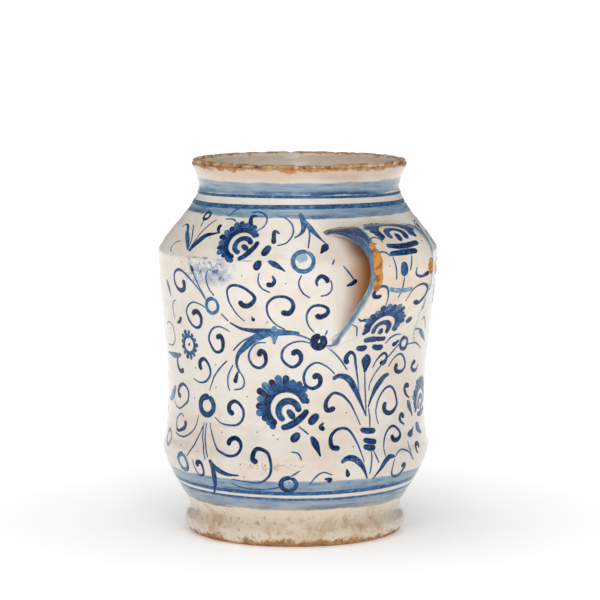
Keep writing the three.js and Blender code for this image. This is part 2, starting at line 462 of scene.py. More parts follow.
# A dark brown that bare clay takes towards the foot's bottom edge.
FOOT_EDGE_DARK = rgb(104, 66, 38)
CHIP_LINE = rgb(92, 58, 38)
STRAP_WARM = rgb(218, 192, 150)
# Brown painted shade for the strap's underside, which faces the wall.
STRAP_UNDERSIDE_SHADE = rgb(132, 78, 38)
STRAP_POOLED = rgb(14, 46, 96)
STRAP_WORN = rgb(140, 96, 66)


# %% Washes and the seam, laid on the cream
def cream(where):
    """The glaze itself, warmer and pinker where it is thin."""
    broad = step_up(noise(where, 24, 3, 0.55), 0.38, 0.68)
    mottled = step_up(noise(where, 85, 5, 0.62, 0.6), 0.45, 0.72)
    blush = step_up(noise(where, 38, 5, 0.7, 1.2), 0.56, 0.74)
    colour = over(CREAM, CREAM_WARM, broad)
    colour = over(colour, CREAM_PINK, mottled, 0.36)
    return over(colour, BLUSH, blush, 0.30)


def lay_washes(colour, where, height, streaks):
    """Pale blue rings round the jar, streaked, and pooled along their lower edge."""
    pools = step_up(noise(vector_calc("MULTIPLY", where, (1.0, 1.0, 3.0)), 26, 5, 0.7), 0.42, 0.60)
    wavy = times_plus(minus(noise(where, 55, 3, 0.6), 0.5), 3.2 * MM, height)
    strength = times_plus(step_up(streaks, 0.25, 0.75), 0.32, 0.66)
    for low, high in (NECK_WASH, SHOULDER_WASH, BELLY_WASH, FOOT_WASH):
        inside = band(wavy, low, high, 0.45 * MM)
        lower_edge = band(wavy, low - 1 * MM, low + 2.4 * MM, 1.6 * MM)
        colour = over(colour, WASH_BLUE, inside, strength)
        colour = over(colour, WASH_DEEP, inside, step_up(streaks, 0.53, 0.74), 0.55)
        colour = over(colour, WASH_POOLED, inside, pools, lower_edge, 0.92)
    return colour


def lay_seam(colour, where, height, turn):
    """A brown crack along the seam on the left, and crawled, smeared blue below it."""
    seam_wander = times_plus(minus(noise(where, 160, 4, 0.7), 0.5), 2.0 * MM, height)
    crack = band(seam_wander, SEAM_HEIGHT - 0.5 * MM, SEAM_HEIGHT + 0.1 * MM, 0.25 * MM)
    broken = step_up(noise(where, 210, 3, 0.6), 0.42, 0.56)
    crack = times(crack, broken, band(turn, -86.0, -52.0, 9.0))
    smear_side = band(turn, -88.0, -66.0, 5.0)
    smear_height = band(height, SEAM_HEIGHT - 15 * MM, SEAM_HEIGHT - 0.5 * MM, 3.0 * MM)
    clouds = step_up(noise(where, 170, 5, 0.7, 0.8), 0.40, 0.60)
    smear = times(smear_side, smear_height, clouds)
    colour = over(colour, SMEAR_PALE, smear, 0.8)
    colour = over(colour, SMEAR_DEEP, smear, step_up(noise(where, 260, 3, 0.6), 0.53, 0.62), 0.85)
    return over(colour, CRACK_BROWN, crack, 0.85), crack


# %% Dirt and stains
def lay_specks(colour, where, height, turn, coarse):
    """Pinholes and brown specks: sparse on the wall, thick on the foot and in a few stained patches."""
    patches = step_up(noise(where, 30, 3, 0.6), 0.56, 0.70)
    low_down = minus(1.0, step_up(height, 17 * MM, 30 * MM))
    crowding = calc("MAXIMUM", times(patches, 0.45), low_down)
    crowding = times(crowding, step_up(noise(where, 42, 4, 0.65), 0.38, 0.62))
    belly_pits = times(band(height, 47 * MM, 55 * MM, 4 * MM), band(turn, -62.0, -30.0, 9.0), 1.25)
    threshold = times_plus(calc("MAXIMUM", crowding, belly_pits), -0.15, 0.80)
    grains = times_plus(coarse, 0.45, times(noise(where, 820, 2, 0.5), 0.62))
    specks = step_up(minus(grains, threshold), -0.045, 0.0)
    scarred = step_up(times(noise(where, 330, 5, 0.75, 0.4), low_down), 0.56, 0.62)
    foot_stain = step_up(noise(where, 48, 5, 0.7, 0.5), 0.52, 0.68)
    colour = over(colour, SPECK_BROWN, specks, 0.75)
    colour = over(colour, SCAR_BROWN, scarred, 0.8)
    colour = over(colour, FOOT_CREAM, low_down, 0.45)
    return over(colour, FOOT_BROWN, low_down, foot_stain, 0.62), specks


def lay_stains_and_shade(colour, where, height, across, turn, streaks, washes, rim_thin_and_shade):
    """Thin glaze and painted shade under the rim, and warm stain and painted shade behind the handle."""
    # Under the rim the glaze is thin and browner, and it also takes painted shade: brown, and on the
    # outside a streaky grey.
    under_rim = step_up(times_plus(noise(where, 70, 4, 0.6), 9 * MM, height),
                        RIM_TOP - 11 * MM, RIM_TOP + 1 * MM)
    colour = over(colour, THIN_GLAZE_AND_SHADE_BROWN, under_rim, rim_thin_and_shade)
    if washes:
        colour = over(colour, RIM_GREY, under_rim, step_up(streaks, 0.42, 0.62), 0.35)
    # The wall behind the handle, not the strap: an ochre stain mixed with painted shade, and a deeper brown
    # painted shade under the strap's upper end.
    shaded = minus(1.0, step_up(across, 84.6 * MM, 86.5 * MM))
    behind = times(band(turn, -13.5, 15.0, 6.0), band(height, 136 * MM, 184 * MM, 10 * MM), shaded)
    cloudy = times_plus(step_up(noise(where, 60, 4, 0.6), 0.3, 0.7), 0.18, 0.82)
    colour = over(colour, STAIN_AND_SHADE_OCHRE, behind, cloudy)
    return over(colour, SHADE_AND_STAIN_BROWN, behind, step_up(height, 160 * MM, 182 * MM), 0.55)


def lay_bare_clay(colour, where, height, coarse, chips, rim_left):
    """Bare clay: the worn rim, the ragged foot edge, and single chips with a dark line round them."""
    rim_reach = times_plus(noise(where, 120, 6, 0.72), 11 * MM, height)
    rim_bare = step_up(rim_reach, RIM_TOP + rim_left, RIM_TOP + rim_left + 0.6 * MM)
    foot_reach = times_plus(noise(where, 62, 7, 0.78), -24 * MM, height)
    foot_bare = minus(1.0, step_up(foot_reach, -8.2 * MM, -7.4 * MM))
    bare = calc("MAXIMUM", rim_bare, foot_bare)
    knocked = None
    for spot, size in chips:
        chip = near_spot(where, spot, size, noise(where, 210, 5, 0.7))
        knocked = calc("MAXIMUM", knocked, chip) if knocked else chip
    if knocked:
        bare = calc("MAXIMUM", bare, step_up(knocked, 0.0, 0.6))
    # Bare clay turns darker towards the foot's bottom edge.
    darker_to_foot_edge = minus(1.0, step_up(foot_reach, -12.0 * MM, -7.2 * MM))
    colour = over(colour, over(clay_colour(where), FOOT_EDGE_DARK, darker_to_foot_edge, 0.55), bare)
    if knocked:
        lined = step_up(knocked, 0.05, 0.3)
        colour = over(colour, CHIP_LINE, lined, 0.8)
        colour = over(colour, FRESH_CLAY, step_up(knocked, 0.45, 0.8))
        colour = over(colour, CLAY_RUST, step_up(coarse, 0.48, 0.6), lined)
    return colour, bare


# %% The glaze as a group of nodes
def glaze_group(name, chips, washes=True, rim_thin_and_shade=0.62, rim_left=1.3 * MM):
    """A node group from a place to the glaze's colour, how bare it is, and its small relief.

    Chips are (spot, size) pairs in metres. Rim_thin_and_shade is how brown the glaze under the rim is,
    thin there and darkened with painted shade, and rim_left is more where less of the rim has worn bare.
    """
    group = bpy.data.node_groups.new(name, "ShaderNodeTree")
    for label, way, kind in (("Where", "INPUT", "Vector"), ("Colour", "OUTPUT", "Color"),
                             ("Bare", "OUTPUT", "Float"), ("Relief", "OUTPUT", "Float")):
        group.interface.new_socket(label, in_out=way, socket_type="NodeSocket" + kind)
    where = group.nodes.new("NodeGroupInput").outputs[0]
    ends = group.nodes.new("NodeGroupOutput")
    height, across, turn = split_place(where)
    streaks = noise(vector_calc("MULTIPLY", where, (1.0, 1.0, 9.0)), 60, 4, 0.6)
    coarse = noise(where, 260, 4, 0.75)

    colour = cream(where)
    if washes:
        colour = lay_washes(colour, where, height, streaks)
    colour, crack = lay_seam(colour, where, height, turn)
    colour, specks = lay_specks(colour, where, height, turn, coarse)
    colour = lay_stains_and_shade(colour, where, height, across, turn, streaks, washes, rim_thin_and_shade)
    colour, bare = lay_bare_clay(colour, where, height, coarse, chips, rim_left)

    relief = times(noise(where, 260, 3, 0.5), 0.35)
    gritty = times(bare, noise(where, 700, 3, 0.7))
    for part, depth in ((specks, -0.35), (crack, -0.6), (bare, -0.9), (gritty, 0.5)):
        relief = times_plus(part, depth, relief)
    for key, value in enumerate((colour, bare, relief)):
        group.links.new(value, ends.inputs[key])
    return group


def glaze_roughness(where, bare):
    """Glossy glaze that turns matt where the clay is bare."""
    gloss = times_plus(noise(where, 140, 4, 0.6), 0.16, 0.10)
    return times_plus(bare, 0.62, gloss, clamp=True)


def glaze_outputs(where, group):
    """The colour, bareness and relief of a glaze group at a place."""
    return put(where.id_data, "ShaderNodeGroup", {"Where": where}, node_tree=group).outputs


def from_mesh(where, *labels):
    """The values that a mesh holds under some names."""
    return [put(where.id_data, "ShaderNodeAttribute", attribute_name=label).outputs["Fac"]
            for label in labels]


def glaze_finish(name, group, overlay=None):
    """A coat of glaze. An overlay may paint more on its colour."""
    material, shader, where = new_finish(name)
    colour, bare, relief = glaze_outputs(where, group)
    if overlay:
        colour = overlay(where, colour, bare)
    dress(shader, colour, glaze_roughness(where, bare), 0.55, 0.5 * MM, relief)
    shader.inputs["IOR"].default_value = 1.5
    return material


def strap_overlay(where, below, bare):
    """A broad blue wash down the strap's edges, and brown painted shade on its underside."""
    warmth = step_up(noise(where, 55, 4, 0.65), 0.30, 0.66)
    colour = over(below, STRAP_WARM, warmth, 0.42)
    edge, under = from_mesh(where, "edge_wash", "under")
    hairs = noise(vector_calc("MULTIPLY", where, (1.0, 2.5, 0.5)), 170, 4, 0.65)
    ragged = times_plus(minus(hairs, 0.5), 0.9, edge)
    # Patchy brown painted shade on the strap's underside, where it faces the wall.
    stained = times(under, times_plus(noise(where, 70, 4, 0.6), 0.5, 0.5), clamp=True)
    colour = over(colour, STRAP_UNDERSIDE_SHADE, stained)
    colour = over(colour, WASH_BLUE, step_up(ragged, 0.28, 0.72), 0.88)
    colour = over(colour, WASH_DEEP, step_up(ragged, 0.62, 1.05), 0.85)
    colour = over(colour, STRAP_POOLED, step_up(ragged, 0.95, 1.3), 0.8)
    worn = step_up(times(edge, noise(where, 150, 5, 0.7)), 0.67, 0.75)
    return over(over(colour, STRAP_WORN, worn, 0.7), below, bare)


# %% The three coats of glaze
apex_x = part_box("handle_glaze")[1].x
STRAP_CHIPS = (
    ((apex_x - 1.5 * MM, -17.6 * MM, 171 * MM), (0.006, 0.0028, 0.0085)),
    ((apex_x - 1.5 * MM, -17.0 * MM, 160 * MM), (0.006, 0.0026, 0.0062)),
    ((apex_x - 6.0 * MM, -18.5 * MM, 180 * MM), (0.005, 0.0018, 0.0026)),
    ((apex_x - 1.5 * MM, 21.5 * MM, 167 * MM), (0.006, 0.0026, 0.0045)),
)
outer_group = glaze_group("tin_glaze_places", ())
strap_group = glaze_group("strap_glaze_places", STRAP_CHIPS)
inner_group = glaze_group("inner_glaze_places", (), washes=False, rim_thin_and_shade=0.3, rim_left=4.2 * MM)
tin_glaze = glaze_finish("tin_glaze", outer_group)
strap_glaze = glaze_finish("strap_glaze", strap_group, strap_overlay)
inner_glaze = glaze_finish("inner_glaze", inner_group)
print("finishes:", tin_glaze.name, strap_glaze.name, inner_glaze.name)

# %% [markdown]
# ## The glazed wall
# A lathe could make the wall, but a perfect one looks cast, not thrown. So the outline is turned into
# a fine grid, and a small Geometry Nodes tree gives it the throwing marks of a potter's fingers: low
# ridges that climb in a spiral, and a slow unevenness. The grid then gets the thickness of the coat.

# %% Turned grids
AROUND = 288


def new_piece(name, vertices, faces, edges=()):
    """A smooth-shaded mesh object at the origin, in metres."""
    mesh = bpy.data.meshes.new(name)
    mesh.from_pydata(vertices, edges, faces)
    mesh.shade_smooth()
    piece = bpy.data.objects.new(name, mesh)
    bpy.context.scene.collection.objects.link(piece)
    return piece


def store(piece, label, values):
    """Stores one number for each point of a piece under a label."""
    held_values = piece.data.attributes.new(label, "FLOAT", "POINT").data
    held_values.foreach_set("value", np.ravel(values).tolist())


def faces_between(row, next_row, count):
    """The faces between two rows of a tube whose rows have count corners each."""
    a, b = row * count, next_row * count
    return [(a + i, a + (i + 1) % count, b + (i + 1) % count, b + i) for i in range(count)]


def turned_grid(name, profile_mm, ring=False, start_pole=False, end_pole=False):
    """A grid turned about the leaning axis from (radius, height) pairs in mm.

    Pairs that go up the outside make a grid that faces outwards.
    """
    turns = np.arange(AROUND) * 2 * math.pi / AROUND
    rows = [leaned(np.stack([r * np.cos(turns), r * np.sin(turns), np.full(AROUND, z)], -1))
            for r, z in profile_mm]
    vertices = np.concatenate(rows).tolist()
    last = len(profile_mm) - 1
    faces = []
    for row in range(last + 1 if ring else last):
        faces += faces_between(row, (row + 1) % (last + 1), AROUND)
    if start_pole:
        vertices.append(leaned([0, 0, profile_mm[0][1]]).tolist())
        faces += [(len(vertices) - 1, (i + 1) % AROUND, i) for i in range(AROUND)]
    if end_pole:
        vertices.append(leaned([0, 0, profile_mm[-1][1]]).tolist())
        a = last * AROUND
        faces += [(a + i, a + (i + 1) % AROUND, len(vertices) - 1) for i in range(AROUND)]
    return new_piece(name, vertices, faces)


def along_outline(runs, out=0.0):
    """(radius, height) pairs in mm at distances up the outline, moved out from the wall."""
    pairs = np.stack([radius_at(runs), height_at(runs)], -1)
    ahead = np.stack([radius_at(runs + 0.4), height_at(runs + 0.4)], -1)
    behind = np.stack([radius_at(runs - 0.4), height_at(runs - 0.4)], -1)
    along = ahead - behind
    along /= np.linalg.norm(along, axis=1)[:, None]
    return pairs + out * np.stack([along[:, 1], -along[:, 0]], -1)


# %% Throwing marks as a Geometry Nodes tree
def new_tree(name, sockets):
    """A Geometry Nodes tree with a geometry input and output, and named inputs with their defaults."""
    tree = bpy.data.node_groups.new(name, "GeometryNodeTree")
    tree.interface.new_socket("Geometry", in_out="INPUT", socket_type="NodeSocketGeometry")
    tree.interface.new_socket("Geometry", in_out="OUTPUT", socket_type="NodeSocketGeometry")
    for label, kind, default in sockets:
        socket = tree.interface.new_socket(label, in_out="INPUT", socket_type=kind)
        if default is not None:
            socket.default_value = default
    return tree, tree.nodes.new("NodeGroupInput"), tree.nodes.new("NodeGroupOutput")


def end_tree(tree, start, end, geometry):
    """Ends a tree: its geometry is made real and takes the tree's own finish."""
    solid = put(tree, "GeometryNodeRealizeInstances", {0: geometry}).outputs[0]
    finish = start.outputs["Finish"]
    finished = put(tree, "GeometryNodeSetMaterial", {"Geometry": solid, "Material": finish})
    tree.links.new(finished.outputs[0], end.inputs[0])
    print(tree.name, "tree:", len(tree.nodes), "nodes")


def moved(tree, start, direction, distance):
    """The geometry that a tree is given, with each point moved."""
    offset = vector_calc("SCALE", direction, distance)
    return put(tree, "GeometryNodeSetPosition", {"Geometry": start.outputs["Geometry"],
                                                 "Offset": offset}).outputs[0]


def make_plain(piece, modifier):
    """Leaves what a modifier makes of a piece as its plain mesh, and takes the modifier away."""
    graph = bpy.context.evaluated_depsgraph_get()
    graph.update()
    result = bpy.data.meshes.new_from_object(piece.evaluated_get(graph), depsgraph=graph)
    result.name = piece.name
    piece.modifiers.remove(modifier)
    piece.data = result


def run_tree(piece, tree, values):
    """Applies a Geometry Nodes tree to a piece. Values are given by input name."""
    modifier = piece.modifiers.new(tree.name, "NODES")
    modifier.node_group = tree
    for item in tree.interface.items_tree:
        if item.item_type == "SOCKET" and item.in_out == "INPUT" and item.name in values:
            modifier[item.identifier] = values[item.name]
    make_plain(piece, modifier)


marks, marks_in, marks_out = new_tree("throwing_marks", [
    ("Ridge depth", "NodeSocketFloat", 0.10 * MM), ("Ridge pitch", "NodeSocketFloat", 7.5 * MM),
    ("Unevenness", "NodeSocketFloat", 0.45 * MM), ("Finish", "NodeSocketMaterial", None)])
place = put(marks, "GeometryNodeInputPosition").outputs[0]
outward = put(marks, "GeometryNodeInputNormal").outputs[0]
parts = put(marks, "ShaderNodeSeparateXYZ", {0: place})
climb = calc("DIVIDE", parts.outputs[2], marks_in.outputs["Ridge pitch"])
turn_share = calc("DIVIDE", calc("ARCTAN2", parts.outputs[1], parts.outputs[0]), 2 * math.pi)
wave = calc("SINE", times(calc("ADD", climb, turn_share), 2 * math.pi))
ridge = times(wave, marks_in.outputs["Ridge depth"])
slow = minus(noise(place, 14, 2, 0.5), 0.5)
push = times_plus(slow, marks_in.outputs["Unevenness"], ridge)
end_tree(marks, marks_in, marks_out, moved(marks, marks_in, outward, push))


# %% Glazed outside, clay and glazed inside
def thicken(piece, thickness):
    """Gives a sheet its thickness inwards, and leaves a plain closed mesh."""
    modifier = piece.modifiers.new("coat", "SOLIDIFY")
    modifier.thickness = thickness
    modifier.offset = -1
    make_plain(piece, modifier)


WALL_ROWS = 132
GLAZE_START = 1.2
outer_runs = np.linspace(GLAZE_START, outline_run[-1], WALL_ROWS)
outer_coat = turned_grid("outer_glaze_coat", along_outline(outer_runs))
run_tree(outer_coat, marks, {"Finish": tin_glaze})
wall_ground = outer_coat.data.copy()
thicken(outer_coat, GLAZE * MM)
print("outer coat:", len(outer_coat.data.polygons), "faces")

# %% [markdown]
# ## The clay and the glazed inside
# The vessel is one thrown wall with a turned foot. It shows at the rim, where knocks have taken the
# glaze off a rounded crest, and in a ring under the foot. The fixed solids have flat facets there, so
# two smooth turned bodies stand for them: the wall with its foot, and the collar with its crest. The
# crest gets real dents by a small tree of its own, because bump alone would leave its outline a
# perfect circle.

# %% Inside profile
FLOOR = 12
FLOOR_CORNER = 16
CREST_TOP = 225
CLAY_DEPTH = 0.7
SEAM_HALF_GAP = 0.8


def inside_profile(out):
    """(radius, height) pairs of the glazed inside, from the rim down to near the middle of the floor."""
    low_run = float(np.interp(FLOOR + FLOOR_CORNER + 2.5, outline[:, 1], outline_run))
    wall = along_outline(np.linspace(outline_run[-1], low_run, 70), -WALL)
    last = wall[-1]
    t = np.linspace(0, 1, 17)[1:, None]
    corner = ((1 - t) ** 2 * last + 2 * t * (1 - t) * np.array([last[0] - 0.6 * FLOOR_CORNER, FLOOR])
              + t * t * np.array([last[0] - 1.9 * FLOOR_CORNER, FLOOR]))
    flat = np.stack([np.linspace(corner[-1][0], 2.0, 8)[1:], np.full(7, float(FLOOR))], -1)
    whole = np.vstack([wall, corner, flat])
    along = np.gradient(whole, axis=0)
    along /= np.linalg.norm(along, axis=1)[:, None]
    return whole + out * np.stack([along[:, 1], -along[:, 0]], -1)


# %% The knocked crest, as a tree
knocks, knocks_in, knocks_out = new_tree("rim_knocks", [
    ("Dent depth", "NodeSocketFloat", 0.9 * MM), ("From height", "NodeSocketFloat", (CREST_TOP - 5) * MM),
    ("Dents per metre", "NodeSocketFloat", 95.0), ("Finish", "NodeSocketMaterial", None)])
place = put(knocks, "GeometryNodeInputPosition").outputs[0]
outward = put(knocks, "GeometryNodeInputNormal").outputs[0]
upward = put(knocks, "ShaderNodeSeparateXYZ", {0: place}).outputs[2]
near_crest = put(knocks, "ShaderNodeMapRange", {
    "Value": upward, "From Min": knocks_in.outputs["From height"],
    "From Max": (CREST_TOP - 1.5) * MM}).outputs[0]
knock_noise = put(knocks, "ShaderNodeTexNoise", {"Vector": place, "Detail": 4.0, "Roughness": 0.62,
                                                 "Scale": knocks_in.outputs["Dents per metre"]}).outputs[0]
dented = times(step_up(knock_noise, 0.47, 0.66), near_crest)
inwards = times(dented, knocks_in.outputs["Dent depth"], -1.0)
end_tree(knocks, knocks_in, knocks_out, moved(knocks, knocks_in, outward, inwards))

# %% Wall, foot and collar
clay_out = along_outline(np.linspace(0.6, outline_run[-1], 120), -CLAY_DEPTH)
clay_in = inside_profile(-CLAY_DEPTH)
below_seam = clay_out[:, 1] < SHOULDER[1] - SEAM_HALF_GAP
above_seam = clay_out[:, 1] > SHOULDER[1] + SEAM_HALF_GAP
below_seam_in = clay_in[:, 1] < SHOULDER[1] - SEAM_HALF_GAP
above_seam_in = clay_in[:, 1] > SHOULDER[1] + SEAM_HALF_GAP
base_rows = np.array([[2.0, 0], [20.0, 0], [40.0, 0], [BASE[0] - 2 * CLAY_DEPTH, 0]])
vessel_wall = turned_grid("thrown_wall_and_foot", np.vstack([
    base_rows, clay_out[below_seam], clay_in[below_seam_in]]), start_pole=True, end_pole=True)
run_tree(vessel_wall, marks, {"Ridge depth": 0.0, "Unevenness": 0.1 * MM, "Finish": biscuit})

arc = np.linspace(0, math.pi, 30)[1:-1]
crest_foot = max(clay_out[-1][1], clay_in[0][1])
crest_middle = (clay_out[-1][0] + clay_in[0][0]) / 2
crest_half = (clay_out[-1][0] - clay_in[0][0]) / 2
crest = np.stack([crest_middle + crest_half * np.cos(arc),
                  crest_foot + (CREST_TOP - 0.1 - crest_foot) * np.sin(arc)], -1)
collar = turned_grid("thrown_collar_and_rim", np.vstack([
    clay_out[above_seam], crest, clay_in[above_seam_in]]), ring=True)
run_tree(collar, knocks, {"Finish": worn_rim})
print("clay bodies:", len(vessel_wall.data.polygons), len(collar.data.polygons), "faces")

# %% Glazed inside
inner_coat = turned_grid("inner_glaze_coat", inside_profile(0.0), end_pole=True)
run_tree(inner_coat, marks, {"Ridge depth": 0.3 * MM, "Ridge pitch": 9 * MM, "Finish": inner_glaze})
thicken(inner_coat, GLAZE * MM)
print("inner coat:", len(inner_coat.data.polygons), "faces")

# %% [markdown]
# ## The strap handle
# The potter pulled a flat strap of clay, bent it over, and pressed both ends onto the wall, smearing
# its edges out with a wet finger. So the glaze runs from the strap onto the wall in a hollow fillet,
# with no line between them. The strap is a flat oval swept along a curve. Every line that runs
# lengthwise along it is followed to where it meets the wall, and the last millimetres are bent into
# the fillet.

# %% Strap path and section
STRAP_HALF = 2.7
STRAP_WIDTHS = (22.3, 29, 31)
BEND_DEPTH = 5
STRAP_APEX = (100.2, 167)
STRAP_CORNERS = (
    ((66, 186), (81.8, 190.5), (100.2, 183), STRAP_APEX),
    (STRAP_APEX, (100.2, 153), (87.8, 146), (71.2, 117)),
)
SECTION_SIDES = 72
SECTION_ROWS = 76
FILLET_ROWS = 9


def bezier(corners, count):
    t = np.linspace(0, 1, count)[:, None]
    a, b, c, d = (np.array(corner, float) for corner in corners)
    return (1 - t) ** 3 * a + 3 * (1 - t) ** 2 * t * b + 3 * (1 - t) * t * t * c + t ** 3 * d


strap_line = np.vstack([bezier(STRAP_CORNERS[0], 400), bezier(STRAP_CORNERS[1], 400)[1:]])
line_run = np.r_[0, np.cumsum(np.hypot(*np.diff(strap_line, axis=0).T))]
line_share = line_run / line_run[-1]
line_along = np.gradient(strap_line, line_run, axis=0)
line_along /= np.linalg.norm(line_along, axis=1)[:, None]


def strap_width(share):
    """Half the strap's width in mm: it spreads towards both roots."""
    narrow, upper, lower = STRAP_WIDTHS
    to_upper = np.clip(1 - share / 0.45, 0, None) ** 1.6
    to_lower = np.clip((share - 0.45) / 0.55, 0, None) ** 1.6
    return narrow + (upper - narrow) * to_upper + (lower - narrow) * to_lower


def strap_surface(share, angle):
    """Upright points on the strap.

    Share runs from the upper end to the lower, and angle from +Y over the outer face.
    """
    across = np.sign(np.cos(angle)) * abs(np.cos(angle)) ** 0.55
    through = np.sign(np.sin(angle)) * abs(np.sin(angle)) ** 0.75
    x, z = (np.interp(share, line_share, strap_line[:, k]) for k in (0, 1))
    ax, az = (np.interp(share, line_share, line_along[:, k]) for k in (0, 1))
    bend = BEND_DEPTH * np.sin(math.pi * np.minimum(share / 0.55, 1))
    through = through * (STRAP_HALF + np.where(through < 0, bend, 0))
    return np.stack([x - az * through, across * strap_width(share), z + ax * through], -1)


def radius_at_height(height):
    return np.interp(height, outline[:, 1], outline[:, 0])


# %% Each lengthwise line, with a fillet at both ends
def fillet(crossing, on_strap, away, reach):
    """Points from the wall to a point on the strap, bent about their crossing."""
    height = crossing[2]
    slope = (radius_at_height(height + 0.5) - radius_at_height(height - 0.5))
    normal = np.array([crossing[0], crossing[1], 0]) / np.hypot(*crossing[:2])
    normal = np.array([normal[0], normal[1], -slope]) / math.hypot(1, slope)
    along = away - normal * away.dot(normal)
    on_wall = crossing + along / np.linalg.norm(along) * reach
    scale = radius_at_height(on_wall[2]) / np.hypot(*on_wall[:2])
    on_wall = np.array([on_wall[0] * scale, on_wall[1] * scale, on_wall[2]])
    t = np.linspace(0, 1, FILLET_ROWS)[:, None]
    bent = (1 - t) ** 2 * on_wall + 2 * t * (1 - t) * crossing + t * t * on_strap
    return np.vstack([on_wall - normal * 0.8, bent])


lines = []
shares = np.linspace(0, 1, 900)
for side in range(SECTION_SIDES):
    angle = 2 * math.pi * side / SECTION_SIDES
    line = strap_surface(shares, angle)
    outside = np.hypot(line[:, 0], line[:, 1]) > radius_at_height(line[:, 2])
    first, last = int(np.argmax(outside)), len(shares) - 1 - int(np.argmax(outside[::-1]))
    run = np.r_[0, np.cumsum(np.linalg.norm(np.diff(line, axis=0), axis=1))]
    reach = 2.6 + 3.6 * max(0.0, math.sin(angle))
    stations = np.linspace(run[first] + reach, run[last] - reach, SECTION_ROWS)
    main = np.stack([np.interp(stations, run, line[:, k]) for k in range(3)], -1)
    middle = [np.array([np.interp(shares[end], line_share, strap_line[:, 0]), 0,
                        np.interp(shares[end], line_share, strap_line[:, 1])]) for end in (first, last)]
    upper = fillet(line[first], main[0], line[first] - middle[0], reach)
    lower = fillet(line[last], main[-1], line[last] - middle[1], reach)
    lines.append(np.vstack([upper[:-1], main, lower[::-1][1:]]))
rows = np.array(lines).transpose(1, 0, 2)
vertices = leaned(rows.reshape(-1, 3)).tolist()
faces = []
for row in range(len(rows) - 1):
    faces += faces_between(row, row + 1, SECTION_SIDES)
strap_coat = new_piece("handle_glaze_coat", vertices, faces)
turns = np.arange(SECTION_SIDES) * 2 * math.pi / SECTION_SIDES
row_shares = np.clip((np.arange(len(rows)) - FILLET_ROWS) / SECTION_ROWS, 0, 1)[:, None]
from_edge = strap_width(row_shares) * (1 - abs(np.cos(turns)) ** 0.55)
bowed = np.sin(math.pi * np.minimum(row_shares / 0.6, 1))
outer_face = np.clip(0.8 + 1.8 * np.sin(turns) + 0.9 * bowed, 0, 1)
by_side = np.where(np.cos(turns) < 0, 1.0, 0.7)
upper_root = np.clip(1 - row_shares / 0.4, 0, 1) ** 1.2
wash_reach = 4.4 + 8.5 * upper_root
edge_wash = np.clip((wash_reach - from_edge) / 3.6, 0, 1) * outer_face * by_side
edge_wash *= 0.85 + 0.75 * upper_root
# The strap's underside, which faces the wall: it takes brown painted shade.
under = np.clip(-1.4 * np.sin(turns) - 0.15, 0, 1) + 0 * row_shares
store(strap_coat, "edge_wash", edge_wash)
store(strap_coat, "under", under)
run_tree(strap_coat, marks, {"Ridge depth": 0.0, "Unevenness": 0.7 * MM, "Finish": strap_glaze})
strap_ground = strap_coat.data.copy()
thicken(strap_coat, GLAZE * MM)
print("strap coat:", len(strap_coat.data.polygons), "faces")

# %% [markdown]
# ## A loaded brush
# The blue is cobalt oxide in water, laid on the raw glaze with a soft, pointed brush. A light touch
# leaves a hairline, and pressing spreads the hairs, so nearly every stroke here starts thin and ends
# in a fat, dark turn. Strokes could be painted into one large map of the pot, but a map has no
# strokes left to correct. So each stroke is a line of a few places on the wall, and one Geometry
# Nodes tree lays them all down: it rounds the line, presses it onto the glaze beneath, and sweeps a
# low, lens-shaped section along it, as wide as the brush was pressed.

# %% The brush tree
brush, brush_in, brush_out = new_tree("loaded_brush", [
    ("Ground", "NodeSocketObject", None), ("Step", "NodeSocketFloat", 0.65 * MM),
    ("Paint height", "NodeSocketFloat", 0.05 * MM), ("Finish", "NodeSocketMaterial", None)])


def held(name):
    """A value that the points hold under a name."""
    return put(brush, "GeometryNodeInputNamedAttribute", {"Name": name},
               data_type="FLOAT").outputs["Attribute"]


def holding(geometry, name, value):
    """The geometry with a value stored under a name."""
    return put(brush, "GeometryNodeStoreNamedAttribute", {
        "Geometry": geometry, "Name": name, "Value": value}, data_type="FLOAT", domain="POINT").outputs[0]


def facing():
    """The way the glaze faces nearest each point."""
    return put(brush, "GeometryNodeSampleNearestSurface", {
        "Mesh": ground, "Value": ground_normal, "Sample Position": here},
        data_type="FLOAT_VECTOR").outputs[0]


ground = put(brush, "GeometryNodeObjectInfo", {"Object": brush_in.outputs["Ground"]}).outputs["Geometry"]
ground_normal = put(brush, "GeometryNodeInputNormal").outputs[0]
here = put(brush, "GeometryNodeInputPosition").outputs[0]
line = put(brush, "GeometryNodeMeshToCurve", {"Mesh": brush_in.outputs["Geometry"]}).outputs[0]
line = put(brush, "GeometryNodeCurveSplineType", {"Curve": line}, spline_type="CATMULL_ROM").outputs[0]
line = put(brush, "GeometryNodeSetSplineResolution", {"Geometry": line, "Resolution": 12}).outputs[0]
line = put(brush, "GeometryNodeResampleCurve", {"Curve": line, "Length": brush_in.outputs["Step"]},
           mode="LENGTH").outputs[0]
share, run = put(brush, "GeometryNodeSplineParameter").outputs[:2]
whole = put(brush, "GeometryNodeSplineLength").outputs[0]
belly, start, middle, end = (held(name) for name in ("belly", "start_width", "belly_width", "end_width"))
width = times_plus(step_up(share, 0.0, belly), minus(middle, start), start)
width = times_plus(step_up(share, belly, 1.0), minus(end, middle), width)
half = times(width, 0.5)
to_end = calc("MINIMUM", run, minus(whole, run))
inset = minus(1.0, calc("DIVIDE", to_end, half, clamp=True))
rounding = calc("SQRT", minus(1.06, times(inset, inset)))
tone = put(brush, "ShaderNodeMix", {0: share, 2: held("start_tone"), 3: held("end_tone")},
           data_type="FLOAT").outputs[0]
line = holding(holding(line, "run", run), "tone", tone)
line = put(brush, "GeometryNodeSetCurveNormal", {"Curve": line, "Normal": facing()}, mode="FREE").outputs[0]
section = put(brush, "GeometryNodeCurvePrimitiveCircle", {"Resolution": 10, "Radius": 1.0}).outputs[0]
